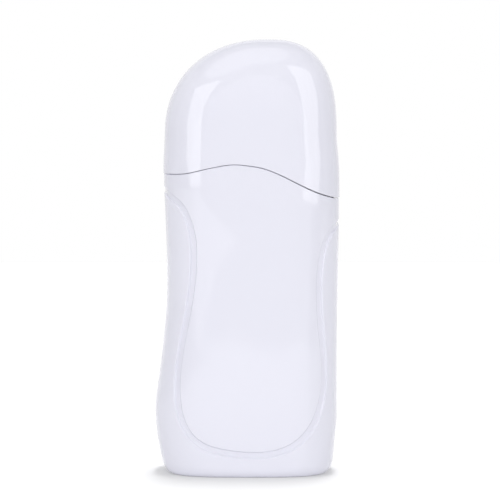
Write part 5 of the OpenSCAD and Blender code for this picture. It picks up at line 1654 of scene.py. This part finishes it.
for k, (rays, start, end, low, high, strength) in enumerate(PANELS):
    name = "wall_" + rays + "_" + str(k)
    angles = np.radians(np.linspace(start, end, WALL_STEPS + 1))
    stage_piece(name, [on_ring(a, z) for z in (low, high) for a in angles], row_faces(WALL_STEPS),
                glow(name + "_glow", strength), rays)
lid = [on_ring(2 * math.pi * k / LID_STEPS, LID_Z) for k in range(LID_STEPS)]
glow_panel("lid", lid, [tuple(range(LID_STEPS))], {"matt": 0.74, "gloss": 0.35})
print("wall panels:", len(PANELS))

# %% [markdown]
# ### The table
# The table is a pale sheet that ends a little short of the camera, in a slightly wavy edge that the front
# panel mirrors. Seen directly or in the gloss the sheet is just white where nothing shades it. A second sheet
# right below it counts for matt rays only and throws daylight back on the underside of the body.

# %% Table
def table_finish(name, tone, own_white):
    """A pale matt sheet with a little white of its own, clear from below, to let the foot be seen."""
    material = bpy.data.materials.new(name)
    material.use_nodes = True
    tree = material.node_tree
    tree.nodes.clear()
    matt = add_node(tree, "ShaderNodeBsdfDiffuse", Color=(tone, tone, 1.01 * tone, 1))
    white = add_node(tree, "ShaderNodeEmission", Color=(1, 1, 1, 1), Strength=own_white)
    both = tree.nodes.new("ShaderNodeAddShader")
    tree.links.new(matt.outputs[0], both.inputs[0])
    tree.links.new(white.outputs[0], both.inputs[1])
    out = tree.nodes.new("ShaderNodeOutputMaterial")
    side = add_node(tree, "ShaderNodeNewGeometry")
    clear = add_node(tree, "ShaderNodeBsdfTransparent")
    chosen = tree.nodes.new("ShaderNodeMixShader")
    tree.links.new(side.outputs["Backfacing"], chosen.inputs[0])
    tree.links.new(both.outputs[0], chosen.inputs[1])
    tree.links.new(clear.outputs[0], chosen.inputs[2])
    tree.links.new(chosen.outputs[0], out.inputs["Surface"])
    return material


TABLE_HALF, TABLE_BACK, TABLE_STEPS = 1.6, 1.2, 128
table_front = smooth_line([(-TABLE_HALF, -1.6), (-0.78, -1.34), (-0.26, -1.06), (-0.05, -0.97), (0.0, -0.94),
                           (0.11, -0.90), (0.24, -0.86), (0.46, -0.73), (0.58, -0.5), (0.8, -0.42),
                           (TABLE_HALF, -0.4)])
edge_x = np.linspace(-TABLE_HALF, TABLE_HALF, TABLE_STEPS + 1)
edge_y = table_front(edge_x)
tables = {}
for rays, z, tone, own_white in (("seen", 0.0, 0.55, 0.22), ("matt", -0.0001, 0.68, 0.17)):
    corners = [(x, y, z) for x, y in zip(edge_x, edge_y)] + [(x, TABLE_BACK, z) for x in edge_x]
    tables[rays] = stage_piece("table_" + rays, corners, row_faces(TABLE_STEPS),
                               table_finish("table_" + rays, tone, own_white), rays)
tables["matt"].visible_shadow = True
print("the table's edge before the middle of the body is at y =", round(float(table_front(0.0)), 2))

# %% [markdown]
# ### Lights for the table alone
# One lamp would wash out the fine balance on the white skin and give the table a single hard shadow. So four
# narrow lights, from overhead to a little behind, are linked to the seen table alone. Their shadows overlap
# to the soft dark seam in front of the foot.

# %% Lights of the table
LIGHT_ANGLE = math.radians(9)
LEAN_X = 0.04
# How far back each light leans, and its strength.
TABLE_LIGHTS = ((0.03, 0.74), (0.13, 0.8), (0.24, 0.35), (0.36, 0.18))
lit = bpy.data.collections.new("lit_by_table_lights")
lit.objects.link(tables["seen"])
for k, (lean_y, energy) in enumerate(TABLE_LIGHTS):
    sun = bpy.data.lights.new("table_light_" + str(k), "SUN")
    sun.energy = energy
    sun.angle = LIGHT_ANGLE
    lamp = bpy.data.objects.new("table_light_" + str(k), sun)
    lamp.rotation_euler = Vector((LEAN_X, lean_y, 1.0)).to_track_quat("Z", "Y").to_euler()
    lamp.light_linking.receiver_collection = lit
    bpy.context.scene.collection.objects.link(lamp)
print("lights on the table:", len(TABLE_LIGHTS))

# %% [markdown]
# ### Background
# Behind everything the world is plain white. The colours are shown as they are, without a filmic curve, which
# would grey the white.

# %% World and colours
world = bpy.data.worlds.new("white_room")
bpy.context.scene.world = world
world.use_nodes = True
world.node_tree.nodes["Background"].inputs["Color"].default_value = (1, 1, 1, 1)
world.node_tree.nodes["Background"].inputs["Strength"].default_value = 1.0
bpy.context.scene.view_settings.view_transform = "Standard"
print("background:", world.name)

# %% [markdown]
# ## The end
# The view layer is brought up to date once more.

# %% The end
bpy.context.view_layer.update()
